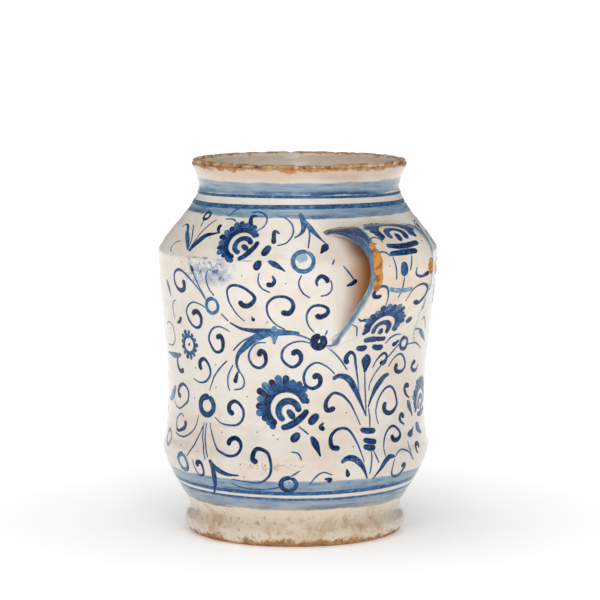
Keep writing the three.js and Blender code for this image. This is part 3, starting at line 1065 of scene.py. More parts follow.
corner = put(brush, "ShaderNodeSeparateXYZ", {0: here}).outputs
section = holding(holding(section, "side", corner[1]), "rise", corner[0])
section = put(brush, "GeometryNodeTransform", {"Geometry": section, "Scale": (0.2, 1.0, 1.0)}).outputs[0]
ribbon = put(brush, "GeometryNodeCurveToMesh", {"Curve": line, "Profile Curve": section, "Fill Caps": True,
                                                "Scale": times(half, rounding)}).outputs[0]
laid = put(brush, "GeometryNodeProximity", {"Geometry": ground, "Sample Position": here},
           target_element="FACES")
lift = times_plus(held("rise"), brush_in.outputs["Paint height"], held("lift"))
placed = vector_calc("ADD", laid.outputs["Position"], vector_calc("SCALE", facing(), lift))
ribbon = put(brush, "GeometryNodeSetPosition", {"Geometry": ribbon, "Position": placed}).outputs[0]
ribbon = put(brush, "GeometryNodeSetShadeSmooth", {"Geometry": ribbon, "Shade Smooth": True}).outputs[0]
end_tree(brush, brush_in, brush_out, ribbon)

# %% [markdown]
# ## Cobalt blue
# Cobalt is strong: thin paint is a watery grey-blue, and where the brush stops the paint pools nearly
# navy. Its hairs leave streaks along the stroke. The finish reads these from attributes that the tree
# leaves on the ribbon: how far along the stroke, how far to the side, and how loaded the brush was.
# Past its soft edge the finish is the same glaze as below, so the edge of a ribbon never shows.

# %% Paint finish
PAINT_TONES = ((0.0, rgb(156, 184, 204)), (0.22, rgb(100, 144, 178)), (0.45, rgb(58, 108, 154)),
               (0.7, rgb(22, 70, 122)), (1.0, rgb(1, 14, 56)))


def paint_finish(name, group):
    """Blue paint on the glaze of a group of nodes."""
    material, shader, where = new_finish(name)
    tree = material.node_tree
    glaze_colour, bare = glaze_outputs(where, group)[:2]
    side, run, tone = from_mesh(where, "side", "run", "tone")
    scaled = [times(value, scale) for value, scale in ((run, 160.0), (side, 2.6), (tone, 9.0))]
    hairs = noise(put(tree, "ShaderNodeCombineXYZ", dict(enumerate(scaled))).outputs[0], 1.0, 3, 0.6)
    depth = times_plus(minus(hairs, 0.5), 1.0, tone)
    depth = times_plus(minus(noise(where, 420, 3, 0.6), 0.5), 1.1, depth)
    ramp = put(tree, "ShaderNodeValToRGB", {0: depth})
    stops = ramp.color_ramp.elements
    stops[0].position, stops[0].color = PAINT_TONES[0]
    stops[1].position, stops[1].color = PAINT_TONES[-1]
    for position, colour in PAINT_TONES[1:-1]:
        stops.new(position).color = colour
    edge = times_plus(noise(where, 900, 2, 0.5), 0.24, calc("ABSOLUTE", side))
    faded = times(step_up(edge, 0.90, 1.14), 0.75)
    colour = over(ramp.outputs[0], glaze_colour, calc("MAXIMUM", faded, bare))
    dress(shader, colour, glaze_roughness(where, bare), 0.35, 0.2 * MM, hairs)
    shader.inputs["Specular IOR Level"].default_value = 0.22
    return material


wall_blue = paint_finish("cobalt_on_wall", outer_group)
strap_blue = paint_finish("cobalt_on_strap", strap_group)
print("finishes:", wall_blue.name, strap_blue.name)

# %% The painting ground
def joined_mesh(name, meshes):
    vertices, faces = [], []
    for mesh in meshes:
        shift = len(vertices)
        vertices += [tuple(v.co) for v in mesh.vertices]
        faces += [tuple(shift + i for i in polygon.vertices) for polygon in mesh.polygons]
    return new_piece(name, vertices, faces)


painting_ground = joined_mesh("painting_ground", (wall_ground, strap_ground))
print("painting ground:", len(painting_ground.data.polygons), "faces")

# %% [markdown]
# ## Ways to press the brush
# A painter has a handful of strokes. Each is a start width, a width at its fullest place and an end
# width in millimetres, where that place lies along the stroke, and how dark it starts and ends.

# %% Presses and strokes
HAIR = (0.8, 1.05, 0.85, 0.5, 0.45, 0.6)
CURL = (0.8, 1.6, 3.1, 0.6, 0.45, 0.95)
COMMA = (1.1, 2.3, 2.9, 0.5, 0.7, 1.0)
DOT = (2.3, 2.5, 2.0, 0.5, 0.7, 0.95)


def bar(width, tone):
    return (width * 0.95, width * 1.2, width * 1.05, 0.55, tone - 0.15, tone)


def leaf(width, tone):
    return (width * 0.7, width * 1.25, width * 0.35, 0.34, tone, tone + 0.2)


strokes = {}
LIFT_STEP = 0.0035 * MM
SOFT_EDGE = 1.15


def stroke(sheet, press, places):
    """Adds one stroke to a sheet. Places are (angle, run) on the wall or (across, run) on the strap."""
    strokes.setdefault(sheet, []).append((press, [tuple(place) for place in places]))


def on_wall(places):
    places = np.array(places, float)
    return wall_point(places[:, 0], places[:, 1])


strap_outer = strap_surface(np.linspace(0, 1, 600), math.pi / 2)
strap_outer_run = np.r_[0, np.cumsum(np.linalg.norm(np.diff(strap_outer, axis=0), axis=1))]


def on_strap(places):
    """Places on the strap's outer face: mm across (+Y) and mm along it from its upper end."""
    across, run = np.array(places, float).T
    spot = np.stack([np.interp(run, strap_outer_run, strap_outer[:, 0]), across,
                     np.interp(run, strap_outer_run, strap_outer[:, 2])], -1)
    share = np.interp(run, strap_outer_run, np.linspace(0, 1, 600))
    bow = 1 - np.clip(abs(across) / strap_width(share), 0, 1) ** 3.6
    sunk = STRAP_HALF * (1 - np.clip(bow, 0, 1) ** 0.375)
    ax = np.interp(run, strap_outer_run, np.gradient(strap_outer[:, 0], strap_outer_run))
    az = np.interp(run, strap_outer_run, np.gradient(strap_outer[:, 2], strap_outer_run))
    spot[:, 0] += az * sunk
    spot[:, 2] -= ax * sunk
    return leaned(spot)


def paint(sheet, place, finish):
    """Turns one sheet of strokes into one piece."""
    vertices, edges, rows = [], [], []
    for number, (press, places) in enumerate(strokes[sheet]):
        points = place(places)
        edges += [(len(vertices) + i, len(vertices) + i + 1) for i in range(len(points) - 1)]
        vertices += points.tolist()
        lift = (number % 14) * LIFT_STEP
        widths = [width * SOFT_EDGE * MM for width in press[:3]]
        rows += [(*widths, *press[3:], lift)] * len(points)
    piece = new_piece(sheet, vertices, [], edges)
    labels = ("start_width", "belly_width", "end_width", "belly", "start_tone", "end_tone", "lift")
    for label, values in zip(labels, np.array(rows).T):
        store(piece, label, values)
    run_tree(piece, brush, {"Ground": painting_ground, "Finish": finish})
    print(sheet, len(strokes[sheet]), "strokes,", len(piece.data.polygons), "faces")
    return piece

# %% [markdown]
# ## What is painted
# The pattern is a meadow of curling stems: sprays rise from the foot, carry carnations with fringed
# heads, and every gap holds a spiral, a comma or a dot. Each list below is a kind of stroke, and each
# stroke is a few places on the wall, as (degrees round the jar, millimetres up its outline). Degrees
# grow to the viewer's right, and the handle is at 0.

# %% Spirals: a hairline that winds in and swells
SPIRALS = (
    ((-75, 84), (-72, 81), (-68, 80), (-63.5, 80.5), (-60.8, 84), (-60.5, 89), (-62.5, 93), (-65, 94.3),
     (-67.2, 92), (-67.3, 88.5), (-65, 86.5)),
    ((-77.5, 80.5), (-76.5, 75), (-73, 66), (-70, 63.5), (-66, 62), (-62.5, 63.5), (-61, 67.5),
     (-61.7, 71), (-64, 72.8), (-66.5, 71), (-67, 68)),
    ((-66, 47.5), (-60, 46.5), (-55, 46), (-51, 47.5), (-48, 52), (-47.3, 58), (-48.5, 64), (-50.5, 66.5),
     (-53.5, 67.3), (-55, 65), (-55.2, 61), (-53, 59.2)),
    ((-50, 130), (-54, 129.3), (-57, 125), (-57.6, 120), (-55.5, 115.8), (-52.5, 115), (-50.3, 118),
     (-50.5, 123), (-52.3, 124.8), (-53.3, 121.5)),
    ((-31, 129.5), (-35, 131), (-39.5, 129.8), (-42.8, 126), (-43.3, 121), (-41.5, 117.5), (-38.7, 115.7),
     (-36, 118), (-35.3, 122), (-37, 125), (-39.3, 123)),
    ((-20.5, 111), (-24, 115.5), (-28.5, 118.2), (-32.3, 115.5), (-34, 110), (-33, 104.8), (-30, 103),
     (-27.3, 105), (-27, 109), (-28.7, 110.7), (-29.8, 108.5)),
    ((-42, 138), (-46, 141), (-49, 146.5), (-49.3, 152.5), (-46.5, 156.6), (-42.5, 157.2), (-39.5, 155),
     (-38.8, 151), (-40.5, 147.5), (-43.7, 148.2)),
    ((-30, 136), (-32.7, 141), (-33.2, 147), (-31, 151.5), (-27.5, 152), (-24.8, 150), (-25, 147),
     (-27.5, 145.3), (-29.8, 146.3)),
    ((-59, 142), (-63, 147), (-66, 154), (-66.5, 160), (-64, 163), (-60, 162.3), (-56, 159),
     (-54.5, 155.5), (-56.5, 152), (-59.2, 151.3), (-61.3, 154)),
    ((-8, 80), (-10.5, 87), (-13, 93), (-16.5, 98), (-20.5, 100), (-23, 97.5), (-24.3, 93.5), (-23.5, 90),
     (-20, 91.2)),
    ((-7, 58), (-9, 67), (-12, 75), (-15, 78.7), (-19, 78.5), (-21.7, 75), (-22, 70.5), (-21, 68),
     (-18, 67.5)),
    ((1.7, 79.5), (0.3, 84), (0.2, 90), (2, 96), (5, 100.3), (8.5, 101), (11.3, 97), (12.8, 91),
     (11.5, 87.3), (8.5, 85.3), (5.5, 86.5), (4.7, 90), (6, 91.8)),
    ((4.3, 60), (3.8, 66), (4.8, 71.5), (7.2, 76), (10.5, 77.3), (13.8, 74.5), (15, 71.3), (12.5, 69),
     (9.8, 69.5), (9.5, 72.5)),
    ((10, 58), (9.5, 53), (10.5, 48), (13, 46), (15.5, 46), (18, 49.5), (18, 52.5), (15.5, 53)),
    ((6, 113), (8.5, 117), (12, 119.8), (15, 118.8), (17, 115), (17.3, 111.5), (15, 109.2), (12, 109.5),
     (10.7, 112), (11.8, 114.3)),
    ((-3, 113), (-1, 117.5), (1.8, 121), (3.8, 121.3), (4.7, 118.5), (3, 115.8), (1, 116.3)),
    ((-9, 100), (-10, 108), (-11.2, 116), (-12, 121.5), (-13.8, 123.6), (-15.6, 121.5), (-15.8, 118.5),
     (-14.3, 118)),
    ((-107, 89), (-104, 86), (-100, 85.3), (-96, 88), (-93, 91), (-92.3, 95.5), (-94, 99), (-97, 100.3),
     (-100.3, 98.5), (-102, 95.5), (-101, 93), (-99, 93)),
    ((-96, 81), (-99, 82.3), (-102.5, 79), (-103, 74.5), (-101, 72), (-97.5, 73), (-94.5, 75.5),
     (-94.5, 79)),
    ((-88.5, 105), (-84, 103.3), (-80, 104.5), (-77.3, 109), (-78, 114.5), (-80.5, 117.7), (-83, 116),
     (-83.3, 112.5), (-82, 112)),
    ((-66, 135.5), (-71, 138), (-75, 136), (-77, 131), (-76, 126), (-73.5, 122.7), (-70.5, 124),
     (-69.7, 129), (-71, 132.3), (-73, 130.8)),
    ((-78, 148.5), (-81, 150.3), (-85, 151), (-88.5, 148.5), (-90, 144), (-88, 139), (-84.5, 136),
     (-81.5, 137.5), (-80.8, 142), (-82.5, 145.5), (-85, 145), (-85.5, 143)),
    ((-77.5, 153), (-81, 159), (-85, 163.5), (-90, 168), (-94, 169.3), (-97.3, 167), (-98, 163),
     (-96, 158.5), (-93, 157), (-90.5, 158.5), (-90.3, 161.5), (-91.5, 163.3)),
    ((-86.5, 57), (-86.3, 52), (-84.5, 47.5), (-81.5, 48.5), (-80.8, 53), (-81.5, 56), (-83.5, 56),
     (-84.3, 53)),
)

# %% Hairlines: tendrils and thin stems
HAIRLINES = (
    ((-85, 84), (-86, 78), (-89, 73), (-94, 69.5), (-99, 69.3), (-103, 70.5)),
    ((-67, 45), (-62, 42), (-55, 41), (-48, 42), (-43, 44)), ((-39, 66), (-36, 65), (-34.5, 61)),
    ((-35, 55), (-39, 51)), ((-31, 45), (-28, 51), (-25, 53.5), (-21, 51.5)),
    ((-62, 112), (-60, 107), (-61, 102.5), (-65, 101)), ((-56, 133.5), (-61, 129.5), (-65, 124)),
    ((-65, 116), (-67.5, 110), (-68, 104), (-67, 100)), ((-40, 135.5), (-35, 134), (-31, 131.5)),
    ((-24, 127), (-20, 122), (-17, 117), (-15, 113)),
    ((-52.5, 171), (-53, 166), (-51.5, 162), (-48, 159.5)),
    ((-35.5, 170), (-36.7, 165), (-35, 159.5), (-32, 156.5)),
    ((-24, 167), (-23.3, 162), (-25, 158.5), (-28, 157.5)), ((-19, 175), (-16, 170), (-14, 166)),
    ((-33, 203), (-32, 196), (-33, 186)),
    ((-57, 197.5), (-53.5, 201), (-53, 207), (-57, 210.5), (-62, 210)),
    ((-47, 208), (-43, 206.5), (-40, 202), (-39.5, 196), (-42, 190), (-46, 188)),
    ((10, 59), (12, 61.5), (15, 62.7), (19, 61), (22.5, 57.5), (25, 54.5)),
    ((22.5, 57.5), (21, 62), (20.2, 67)), ((-5.2, 85), (-5.6, 95), (-6.3, 105), (-6.6, 111)),
    ((-4, 90), (-3.3, 84), (-3.2, 78)), ((-4, 100), (-3.5, 105), (0, 112), (4, 117), (8, 122), (12, 126)),
    ((-3, 65), (-3.2, 56), (-3, 50)), ((-2, 65), (-0.5, 60), (1, 56.5)),
    ((3, 127), (6, 130.5), (10, 132), (13, 131.5)), ((18, 125), (24, 125), (28, 123), (31, 120.5)),
    ((16.5, 131.5), (20, 132), (25, 133.3), (30, 131)), ((29, 138), (31, 139.5), (33, 136), (34, 132)),
    ((-78, 99), (-75.5, 107), (-72, 113), (-68, 118)),
    ((-81.5, 78), (-84.5, 70), (-87.5, 63.5), (-90.5, 58.5)),
    ((-81, 80), (-81.5, 73), (-80, 64), (-78.5, 58)), ((-79.5, 80), (-80, 73), (-79, 66), (-77, 59.5)),
    ((-112, 134), (-108, 136), (-104, 134.5), (-102, 130), (-102.5, 125.5), (-105.5, 122.5), (-112, 122)),
    ((-98, 150.5), (-100.5, 149), (-101.5, 144), (-100.5, 139)), ((-70, 146), (-66.5, 141.5)),
    ((-77.5, 154), (-81, 161), (-84, 168), (-86, 173)),
    ((-76, 171), (-77, 166), (-75.5, 160), (-73, 156)),
    ((-88.5, 181), (-87.5, 190), (-86, 197), (-83.5, 201.5), (-81, 204)),
    ((-89, 183), (-91, 190), (-94.5, 196), (-97, 199)),
    ((-98, 187), (-102, 185), (-103, 181.5), (-101, 179)), ((-90.5, 203), (-90, 198)),
    ((-75, 206.5), (-72, 211), (-67, 213.5)), ((-76, 204.8), (-71, 205), (-69, 203)),
    ((-36, 81), (-31.5, 76)), ((-25, 128), (-22, 128.5), (-20, 131), (-15, 138)),
    ((-22.5, 179), (-23.5, 175.5)), ((-25.5, 134), (-24.5, 137.5)),
)

# %% Commas and hooks: short, dark turns of a full brush
COMMAS = (
    ((-24.5, 49), (-21.5, 48.5), (-23, 47)), ((-25, 83), (-26.5, 80), (-24.5, 79)),
    ((-47.3, 169.5), (-46.3, 166.5), (-47.5, 164), (-49.7, 164.5)),
    ((-29.2, 163.2), (-29.6, 166.5), (-27.7, 169.2), (-25.3, 167), (-26, 165.5)),
    ((-58, 208), (-61, 207.5), (-61, 204), (-60, 202)),
    ((-45.5, 196), (-48, 198), (-48, 194), (-47.5, 189)),
    ((23, 92), (20, 94.5), (18.3, 98), (19.5, 100.2), (22, 99.2)),
    ((18.5, 77), (16, 79), (15, 81.5), (16.3, 83.3), (18.3, 81)),
    ((30, 111.5), (28.5, 108.5), (25.8, 107.9), (23.3, 110), (24, 112.5), (26.5, 113.5)),
    ((29, 58), (26.8, 60), (27, 63.5), (29.5, 63.5), (29.5, 61)),
    ((11.5, 128.5), (9, 126.3), (7.3, 126.5)),
    ((-99, 117.5), (-101.5, 113.5), (-100.5, 109.5), (-98, 107.8), (-95.5, 109.3)),
    ((-98.5, 137), (-96, 138), (-94.5, 141)), ((-75.5, 195), (-77.5, 198.5), (-76.5, 200.8)),
    ((-63, 112), (-64.5, 105)), ((-15, 55), (-13.5, 49.5)), ((-86, 173), (-84, 169)),
    ((-17.3, 163), (-15, 164.3), (-13, 166.5)), ((-56, 144.5), (-54.8, 142.5)),
)

# %% Leaves: (fullest width, darkness, places), each pressed early and lifted slowly
LEAVES = (
    (3.0, 0.6, ((-21.5, 108), (-18.5, 110), (-14, 107.5), (-10, 99), (-7, 90.5), (-5, 85))),
    (2.8, 0.6, ((7, 108.7), (4, 107.5), (0, 102), (-2.5, 96), (-4.3, 90))),
    (3.0, 0.6, ((-17.7, 58.8), (-15, 61.3), (-11.5, 60.7), (-8, 56.5), (-5.3, 51), (-3.7, 47))),
    (2.8, 0.6, ((10, 59.3), (7, 59.8), (4.5, 57.5), (2, 52), (-0.7, 46.3))),
    (3.0, 0.5, ((-36, 135.5), (-40, 136), (-50, 136.5), (-60, 137.5), (-66, 141))),
    (3.6, 0.45, ((-43, 136), (-49, 135.5), (-55, 132), (-60, 126), (-62.5, 122), (-63.5, 117),
     (-62, 111))),
    (4.0, 0.2, ((-46.5, 140), (-46.5, 129))),
    (2.6, 0.45, ((-36.5, 210.5), (-34.5, 203), (-35.5, 197), (-39, 193))),
    (2.4, 0.45, ((-34.5, 206), (-31, 199), (-27, 192), (-25, 189))),
    (3.4, 0.85, ((-24.5, 189), (-28, 182.5))),
    (2.8, 0.6, ((-76, 59), (-75, 53), (-75.5, 46), (-77.5, 39), (-80.5, 33.5))),
    (2.8, 0.6, ((-76.5, 58.5), (-73, 53.5), (-68, 50.5), (-62, 50.3))),
    (4.0, 0.3, ((-105, 98), (-108, 93), (-112, 89.5), (-117, 88.5))),
    (2.6, 0.4, ((-97, 118), (-101, 116.7), (-107, 116.5), (-114, 117))),
    (2.4, 0.5, ((-106, 162), (-104, 157), (-102, 152))),
    (3.2, 0.75, ((-88, 181), (-85.5, 188), (-82.5, 192.5), (-79, 194), (-75, 195.5))),
    (2.6, 0.5, ((-89, 182), (-93, 188), (-97, 192.5), (-100, 196.5), (-104, 198.3), (-107, 196))),
    (3.0, 0.3, ((27, 132.5), (31, 129), (36, 124))), (3.0, 0.55, ((21, 91), (23.5, 86), (26, 80.5))),
    (3.2, 0.55, ((20.5, 70.5), (24, 71), (26.5, 74.5))), (4.0, 0.5, ((29, 76), (33, 71), (36, 69))),
    (3.2, 0.75, ((-30.5, 75), (-28.5, 70), (-26.5, 63))),
    (2.6, 0.6, ((-49, 178), (-45, 175), (-42, 172))), (5.0, 0.75, ((-6, 122), (-6.2, 117), (-6.7, 111))),
)

# %% Bars: (width, darkness, places), one even press
BARS = (
    (2.9, 0.85, ((-8.2, 77.5), (-4, 76.3), (-0.3, 76.3))),
    (2.9, 0.85, ((-6.8, 71.5), (-3, 70), (0, 69.7))),
    (2.9, 0.85, ((-7, 67.7), (-3.5, 66.3), (-0.7, 66.5))),
    (2.8, 0.85, ((-11.5, 126), (-8.5, 125.5), (-6.3, 126.5))),
    (2.8, 0.85, ((-3.7, 126.5), (-1, 125.3), (2.2, 125.5))),
    (2.8, 0.8, ((-8.2, 130), (-3, 130.7), (3.2, 130.7))), (3.8, 0.9, ((-27.5, 88), (-31.5, 82))),
    (3.8, 0.9, ((-35.5, 77), (-39, 72))), (3.6, 0.95, ((-49, 188), (-51.5, 181))),
    (3.6, 0.9, ((-52, 178), (-54.5, 172.5))), (2.6, 0.9, ((-67, 178), (-63.5, 177.5))),
)

# %% Dots, rings and small flowers
DOTS = (
    (-59, 97), (-54, 76.5), (-47, 75), (-45, 72.8), (-61, 57), (-60, 49), (-15, 87.5), (-12, 67.5),
    (-56, 144.5), (-49.5, 141.5), (-42, 164.5), (-60, 168.5), (-88, 93), (-84, 62), (-96.5, 63.5),
    (-82, 44.5), (-71, 44), (-71, 75), (-86.7, 111), (-74.2, 114.5), (-74.5, 101), (-79.5, 190.5),
    (-80.5, 174), (-92, 173.5), (-107, 182), (24.5, 44.5), (-108.5, 128.5), (-98.5, 178), (-13, 45),
    (-68, 202.5),
)
# Each ring is (degrees, run, radius of its middle, width, darkness).
RINGS = (
    (-40, 45.5, 4.5, 2.8, 0.8), (-35, 178, 6.0, 2.6, 0.5), (-79.7, 90, 5.3, 3.6, 0.85),
    (-94.7, 54, 5.0, 2.6, 0.5), (-111, 66, 4.5, 2.4, 0.35), (-74.3, 150, 4.3, 2.2, 0.5),
    (-90, 206, 2.6, 2.0, 0.85), (15, 126, 3.4, 2.4, 0.7), (-28, 130.5, 2.9, 4.6, 1.0),
)
# Two rings hold a thin wash: (degrees, run, size, darkness).
PALE_MIDDLES = ((-35, 178, 4.6, -0.35), (-40, 45.5, 2.4, -0.1))
# Each carnation is (degrees, run, the way its head points in degrees, size).
CARNATIONS = ((-41.2, 91.3, 127, 1.04), (-62.0, 188.3, 143, 0.88), (36, 88, 100, 0.8))
ROSETTES = ((-90, 125, 13),)
print(len(SPIRALS), "spirals,", len(HAIRLINES), "hairlines,", len(LEAVES), "leaves")


# %% Figures drawn in their own small frame
def small_frame_on_wall(degrees, run):
    """Turns millimetres right and up of a spot on the wall into a place on it."""
    radius = float(radius_at(run))
    return lambda right, up: (degrees + math.degrees(right / radius), run + up)


def small_frame_on_strap(across, run):
    return lambda right, up: (across + right, run - up)


def arc_places(to_place, middle, radius, start, stop, count):
    """Places on an arc about a point of a small frame, with its angles in degrees."""
    turns = np.radians(np.linspace(start, stop, count))
    return [to_place(middle[0] + radius * math.cos(a), middle[1] + radius * math.sin(a)) for a in turns]


def ring(sheet, to_place, radius, width, tone):
    stroke(sheet, (width, width * 0.95, width * 0.85, 0.5, tone, tone - 0.15),
           arc_places(to_place, (0, 0), radius, 70, 435, 17))


def rosette(sheet, to_place, petals):
    """A flower seen from the front: a broken ring with blunt petals and a dark eye."""
    ring(sheet, to_place, 5.3, 2.4, 0.75)
    for number in range(petals):
        turn = 360 * number / petals
        reach = 8.6 + 0.7 * math.sin(5.1 * number)
        inner = arc_places(to_place, (0, 0), 6.0, turn, turn, 1)
        outer = arc_places(to_place, (0, 0), reach, turn + 3, turn + 3, 1)
        stroke(sheet, bar(2.5, 0.7 + 0.22 * math.sin(3.7 * number)), inner + outer)
    stroke(sheet, (3.0, 3.2, 3.0, 0.5, 0.95, 1.0), [to_place(-0.5, 0.6), to_place(0.6, -0.5)])


def carnation(sheet, to_place, aim, size, cup=True):
    """A fringed head: petals on a band, an open ring inside it, a bar at its heart and a cup below."""
    def spot(turn, radius, back=0.0):
        angle, behind = math.radians(aim + turn), math.radians(aim + 180)
        return to_place(size * (radius * math.cos(angle) + back * math.cos(behind)),
                        size * (radius * math.sin(angle) + back * math.sin(behind)))

    def heart(turn, radius):
        return spot(turn, radius, 1.8)

    petals = 16
    for number in range(petals):
        turn = -106 + 212 * number / (petals - 1)
        reach = 19.6 - 6.0 * abs(turn / 106) ** 1.5 + 0.9 * math.sin(4.3 * number)
        depth = 0.62 + 0.3 * math.sin(2.9 * number + 0.6)
        stroke(sheet, (2.8 * size, 3.6 * size, 3.9 * size, 0.5, 0.7, depth),
               [spot(turn, 10.5), spot(turn, reach)])
    stroke(sheet, (3.2 * size, 4.6 * size, 3.4 * size, 0.5, 0.7, 0.9),
           [spot(turn, 11.6 - 1.2 * abs(turn / 110)) for turn in range(-112, 113, 16)])
    stroke(sheet, (3.4 * size, 3.6 * size, 3.2 * size, 0.5, 0.8, 0.6),
           [heart(turn, 5.6) for turn in range(-134, 135, 16)])
    stroke(sheet, bar(3.0 * size, 0.85), [heart(0, 1.0), heart(180, 5.5)])
    if cup:
        stroke(sheet, (3.0 * size, 3.8 * size, 3.0 * size, 0.5, 0.75, 0.9),
               [spot(128, 11.4), spot(150, 10.0), spot(180, 9.2), spot(210, 10.2), spot(230, 11.8)])


# %% [markdown]
# ## The whole wall
# One side of the jar is painted as listed. The pattern of such a jar runs on all round it, so the far
# side takes the same sprays again: once mirrored, as a painter turns a motif over to face the next,
# and once more beyond that. Only strokes that lie wholly inside a stretch are taken, so that none is
# cut.

# %% One side, then round the back
def paint_figures(sheet, flip):
    """Paints the rings, rosettes and carnations that fit, moved round the jar and perhaps mirrored."""
    for degrees, run, radius, width, tone in RINGS:
        if allowed(degrees):
            ring(sheet, small_frame_on_wall(moved_to(degrees), run), radius, width, tone)
    for degrees, run, radius, tone in PALE_MIDDLES:
        if allowed(degrees):
            stroke(sheet, (radius, radius * 1.2, radius, 0.5, tone, tone + 0.2),
                   arc_places(small_frame_on_wall(moved_to(degrees), run), (0, 0), radius / 2, 200, 20, 3))
    for degrees, run, petals in ROSETTES:
        if allowed(degrees):
            rosette(sheet, small_frame_on_wall(moved_to(degrees), run), petals)
    for degrees, run, aim, size in CARNATIONS:
        if allowed(degrees):
            turned = 180 - aim if flip < 0 else aim
            carnation(sheet, small_frame_on_wall(moved_to(degrees), run), turned, size)


# Each copy is (shift in degrees, 1 or -1 for mirrored, the least and greatest angle that is taken).
COPIES = (("front", 0, 1, -130, 60), ("side", 42, -1, -100, -8), ("back", 246, 1, -100, -14))
for part, shift, flip, least, greatest in COPIES:
    def allowed(degrees):
        return least <= degrees <= greatest

    def moved_to(degrees):
        return shift + flip * degrees

    def lay(sheet, press, places):
        if all(allowed(degrees) for degrees, run in places):
            stroke(sheet, press, [(moved_to(degrees), run) for degrees, run in places])

    for press, kind in ((CURL, SPIRALS), (HAIR, HAIRLINES), (COMMA, COMMAS)):
        for places in kind:
            lay(part + "_scrolls", press, places)
    for degrees, run in DOTS:
        lay(part + "_scrolls", DOT, ((degrees, run), (degrees + 0.35, run + 0.9)))
    for width, tone, places in LEAVES:
        lay(part + "_sprays", leaf(width, tone), places)
    for width, tone, places in BARS:
        lay(part + "_sprays", bar(width, tone), places)
    paint_figures(part + "_sprays", flip)

# %% Spirals and dots in the gaps
FLAT_RADIUS = 78
WALK_STEP = 2.0


def walked(places):
    """Points in mm, unrolled flat, at short steps along a stroke."""
    flat = np.array([(math.radians(degrees) * FLAT_RADIUS, run) for degrees, run in places])
    lengths = np.r_[0, np.cumsum(np.hypot(*np.diff(flat, axis=0).T))]
    stations = np.arange(0, lengths[-1] + WALK_STEP, WALK_STEP)
    return np.stack([np.interp(stations, lengths, flat[:, k]) for k in (0, 1)], -1)


def gap_spiral(to_place, radius, turn, hand):
    """A tendril that winds inwards from a loose tail."""
    shares = np.linspace(0, 1, 12)
    reach = radius * (1.25 - 1.0 * shares ** 0.7)
    turns = turn + hand * shares * 2 * math.pi * 1.35
    return [to_place(r * math.cos(a), r * math.sin(a)) for r, a in zip(reach, turns)]


chance = np.random.default_rng(11)
taken = np.vstack([walked(places) for sheet in strokes.values() for _, places in sheet])
# Each try is (spiral's radius, clear room it needs, how often it is tried), and small ones become dots.
GAP_TRIES = ((7.0, 10.0, 2000), (5.0, 7.3, 2000), (1.6, 4.2, 1000))
UNSEEN = (14, 236)
AROUND_FLAT = [np.array([laps * 2 * math.pi * FLAT_RADIUS, 0]) for laps in (0, 1, -1)]
for radius, room, tries in GAP_TRIES:
    for _ in range(tries):
        degrees, run = chance.uniform(*UNSEEN), chance.uniform(50 + radius, 204 - radius)
        turn, hand = chance.uniform(0, 2 * math.pi), chance.choice((-1, 1))
        by_handle = degrees < 50 and run < 146 or degrees < 24
        spot = np.array([math.radians(degrees) * FLAT_RADIUS, run])
        nearest = min(np.hypot(*(taken - spot - once_round).T).min() for once_round in AROUND_FLAT)
        if by_handle or nearest < room:
            continue
        to_place = small_frame_on_wall(degrees, run)
        if radius > 4:
            press, places = CURL, gap_spiral(to_place, radius, turn, hand)
        else:
            press, places = DOT, [to_place(0, 0), to_place(0.7, 0.9)]
        stroke("gap_scrolls", press, places)
        taken = np.vstack([taken, walked(places)])
print(len(strokes["gap_scrolls"]), "strokes in the gaps")

# %% Lines round the neck and above the foot
# Each line is (run, width, darkness).
RING_LINES = ((219.7, 1.6, 0.5), (213.7, 2.8, 0.52), (39.2, 2.4, 0.55), (34.6, 1.8, 0.45))
for run, width, tone in RING_LINES:
    stroke("ring_lines", (width, width, width, 0.5, tone, tone),
           [(turn, run + 0.5 * math.sin(math.radians(2 * turn + 9 * run))) for turn in range(-180, 184, 4)])
wall_paint = [paint(sheet, on_wall, wall_blue) for sheet in list(strokes)]

# %% [markdown]
# ## The painted strap
# The strap carries two carnations, one above the other, with spirals between them. Its edges already
# have their wash. Places are now (millimetres across, millimetres along the outer face from its upper
# end).

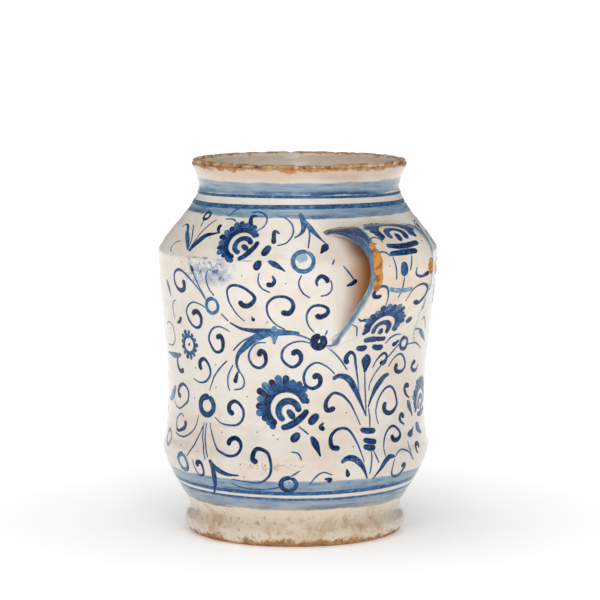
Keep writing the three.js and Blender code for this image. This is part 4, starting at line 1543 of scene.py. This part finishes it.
# %% Strap strokes
SHEET = "handle_brushwork"
carnation(SHEET, small_frame_on_strap(1, 26), 92, 1.06, cup=False)
carnation(SHEET, small_frame_on_strap(-1, 92), 92, 0.94, cup=False)
STRAP_BARS = (
    (3.6, 0.9, ((14, 17), (15, 25))), (3.0, 0.85, ((-11, 36), (-4, 37), (4, 36.8), (13, 35))),
    (2.9, 0.85, ((-10.5, 41.5), (0, 41), (10, 40.5))), (2.6, 0.3, ((-10, 62.5), (0, 64.5), (8, 63.5))),
    (4.4, 0.7, ((-1.5, 46.5), (-1, 50), (-0.5, 55))), (3.4, 0.8, ((18, 86), (17, 91))),
)
STRAP_HAIRS = (
    ((-0.5, 55), (0.3, 64), (0, 70)), ((-9, 43), (-7, 50), (-6, 57)), ((5, 43), (3.5, 52)),
    ((-22, 34), (-17, 34)), ((-21, 34), (-19, 30), (-16, 29), (-13, 31), (-12.5, 34)),
    ((-19, 40), (-14, 40), (-10, 43)), ((-24, 89), (-20, 91), (-17, 98)),
)
STRAP_SPIRALS = (
    ((-6.5, 75), (-8, 68), (-11, 62), (-15, 60.5), (-18.5, 63), (-19, 66), (-17, 68), (-13, 67.5)),
    ((7, 73), (9, 64), (15, 61), (20, 64), (21, 70), (18, 75.5), (14, 73)),
    ((8.5, 50), (8, 54), (12, 56), (18, 54)), ((-22, 84), (-19, 86), (-16, 85)),
)
for width, tone, places in STRAP_BARS:
    stroke(SHEET, bar(width, tone), places)
for press, kind in ((HAIR, STRAP_HAIRS), (CURL, STRAP_SPIRALS)):
    for places in kind:
        stroke(SHEET, press, places)
for across, run in ((16, 34), (-20, 20), (-12, 48)):
    stroke(SHEET, DOT, ((across, run), (across + 0.6, run + 0.7)))
strap_paint = paint(SHEET, on_strap, strap_blue)
bpy.data.objects.remove(painting_ground)

# %% [markdown]
# ## The pieces on the one body
# Everything is rigid and rides on the one body. Each turned coat stands for the faceted solid that it
# covers. The strap's clay, its two luted ends and the ring of slip lie hidden under the glaze and
# only need their clay finishes.

# %% Bodies, stand-ins and finishes
STAND_INS = ((outer_coat, "outer_glaze", "tin_glaze"), (inner_coat, "inner_glaze", "inner_glaze"),
             (strap_coat, "handle_glaze", "tin_glaze"), (vessel_wall, "foot_and_wall", "earthenware"),
             (collar, "shoulder_collar", "earthenware"))
for piece, node, slot in STAND_INS:
    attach(piece, "root")
    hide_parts(node)
for piece in wall_paint + [strap_paint]:
    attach(piece, "root")
HIDDEN_CLAY = {"handle_strap": biscuit, "handle_upper_luting": joining_slip,
               "handle_lower_luting": joining_slip, "shoulder_seam_slip": joining_slip}
for node, finish in HIDDEN_CLAY.items():
    node_mesh = frame["nodes"][node].data
    node_mesh.materials.clear()
    node_mesh.materials.append(finish)
total = sum(len(piece.data.polygons) for piece in bpy.data.objects if piece.type == "MESH")
print("faces in all:", total)
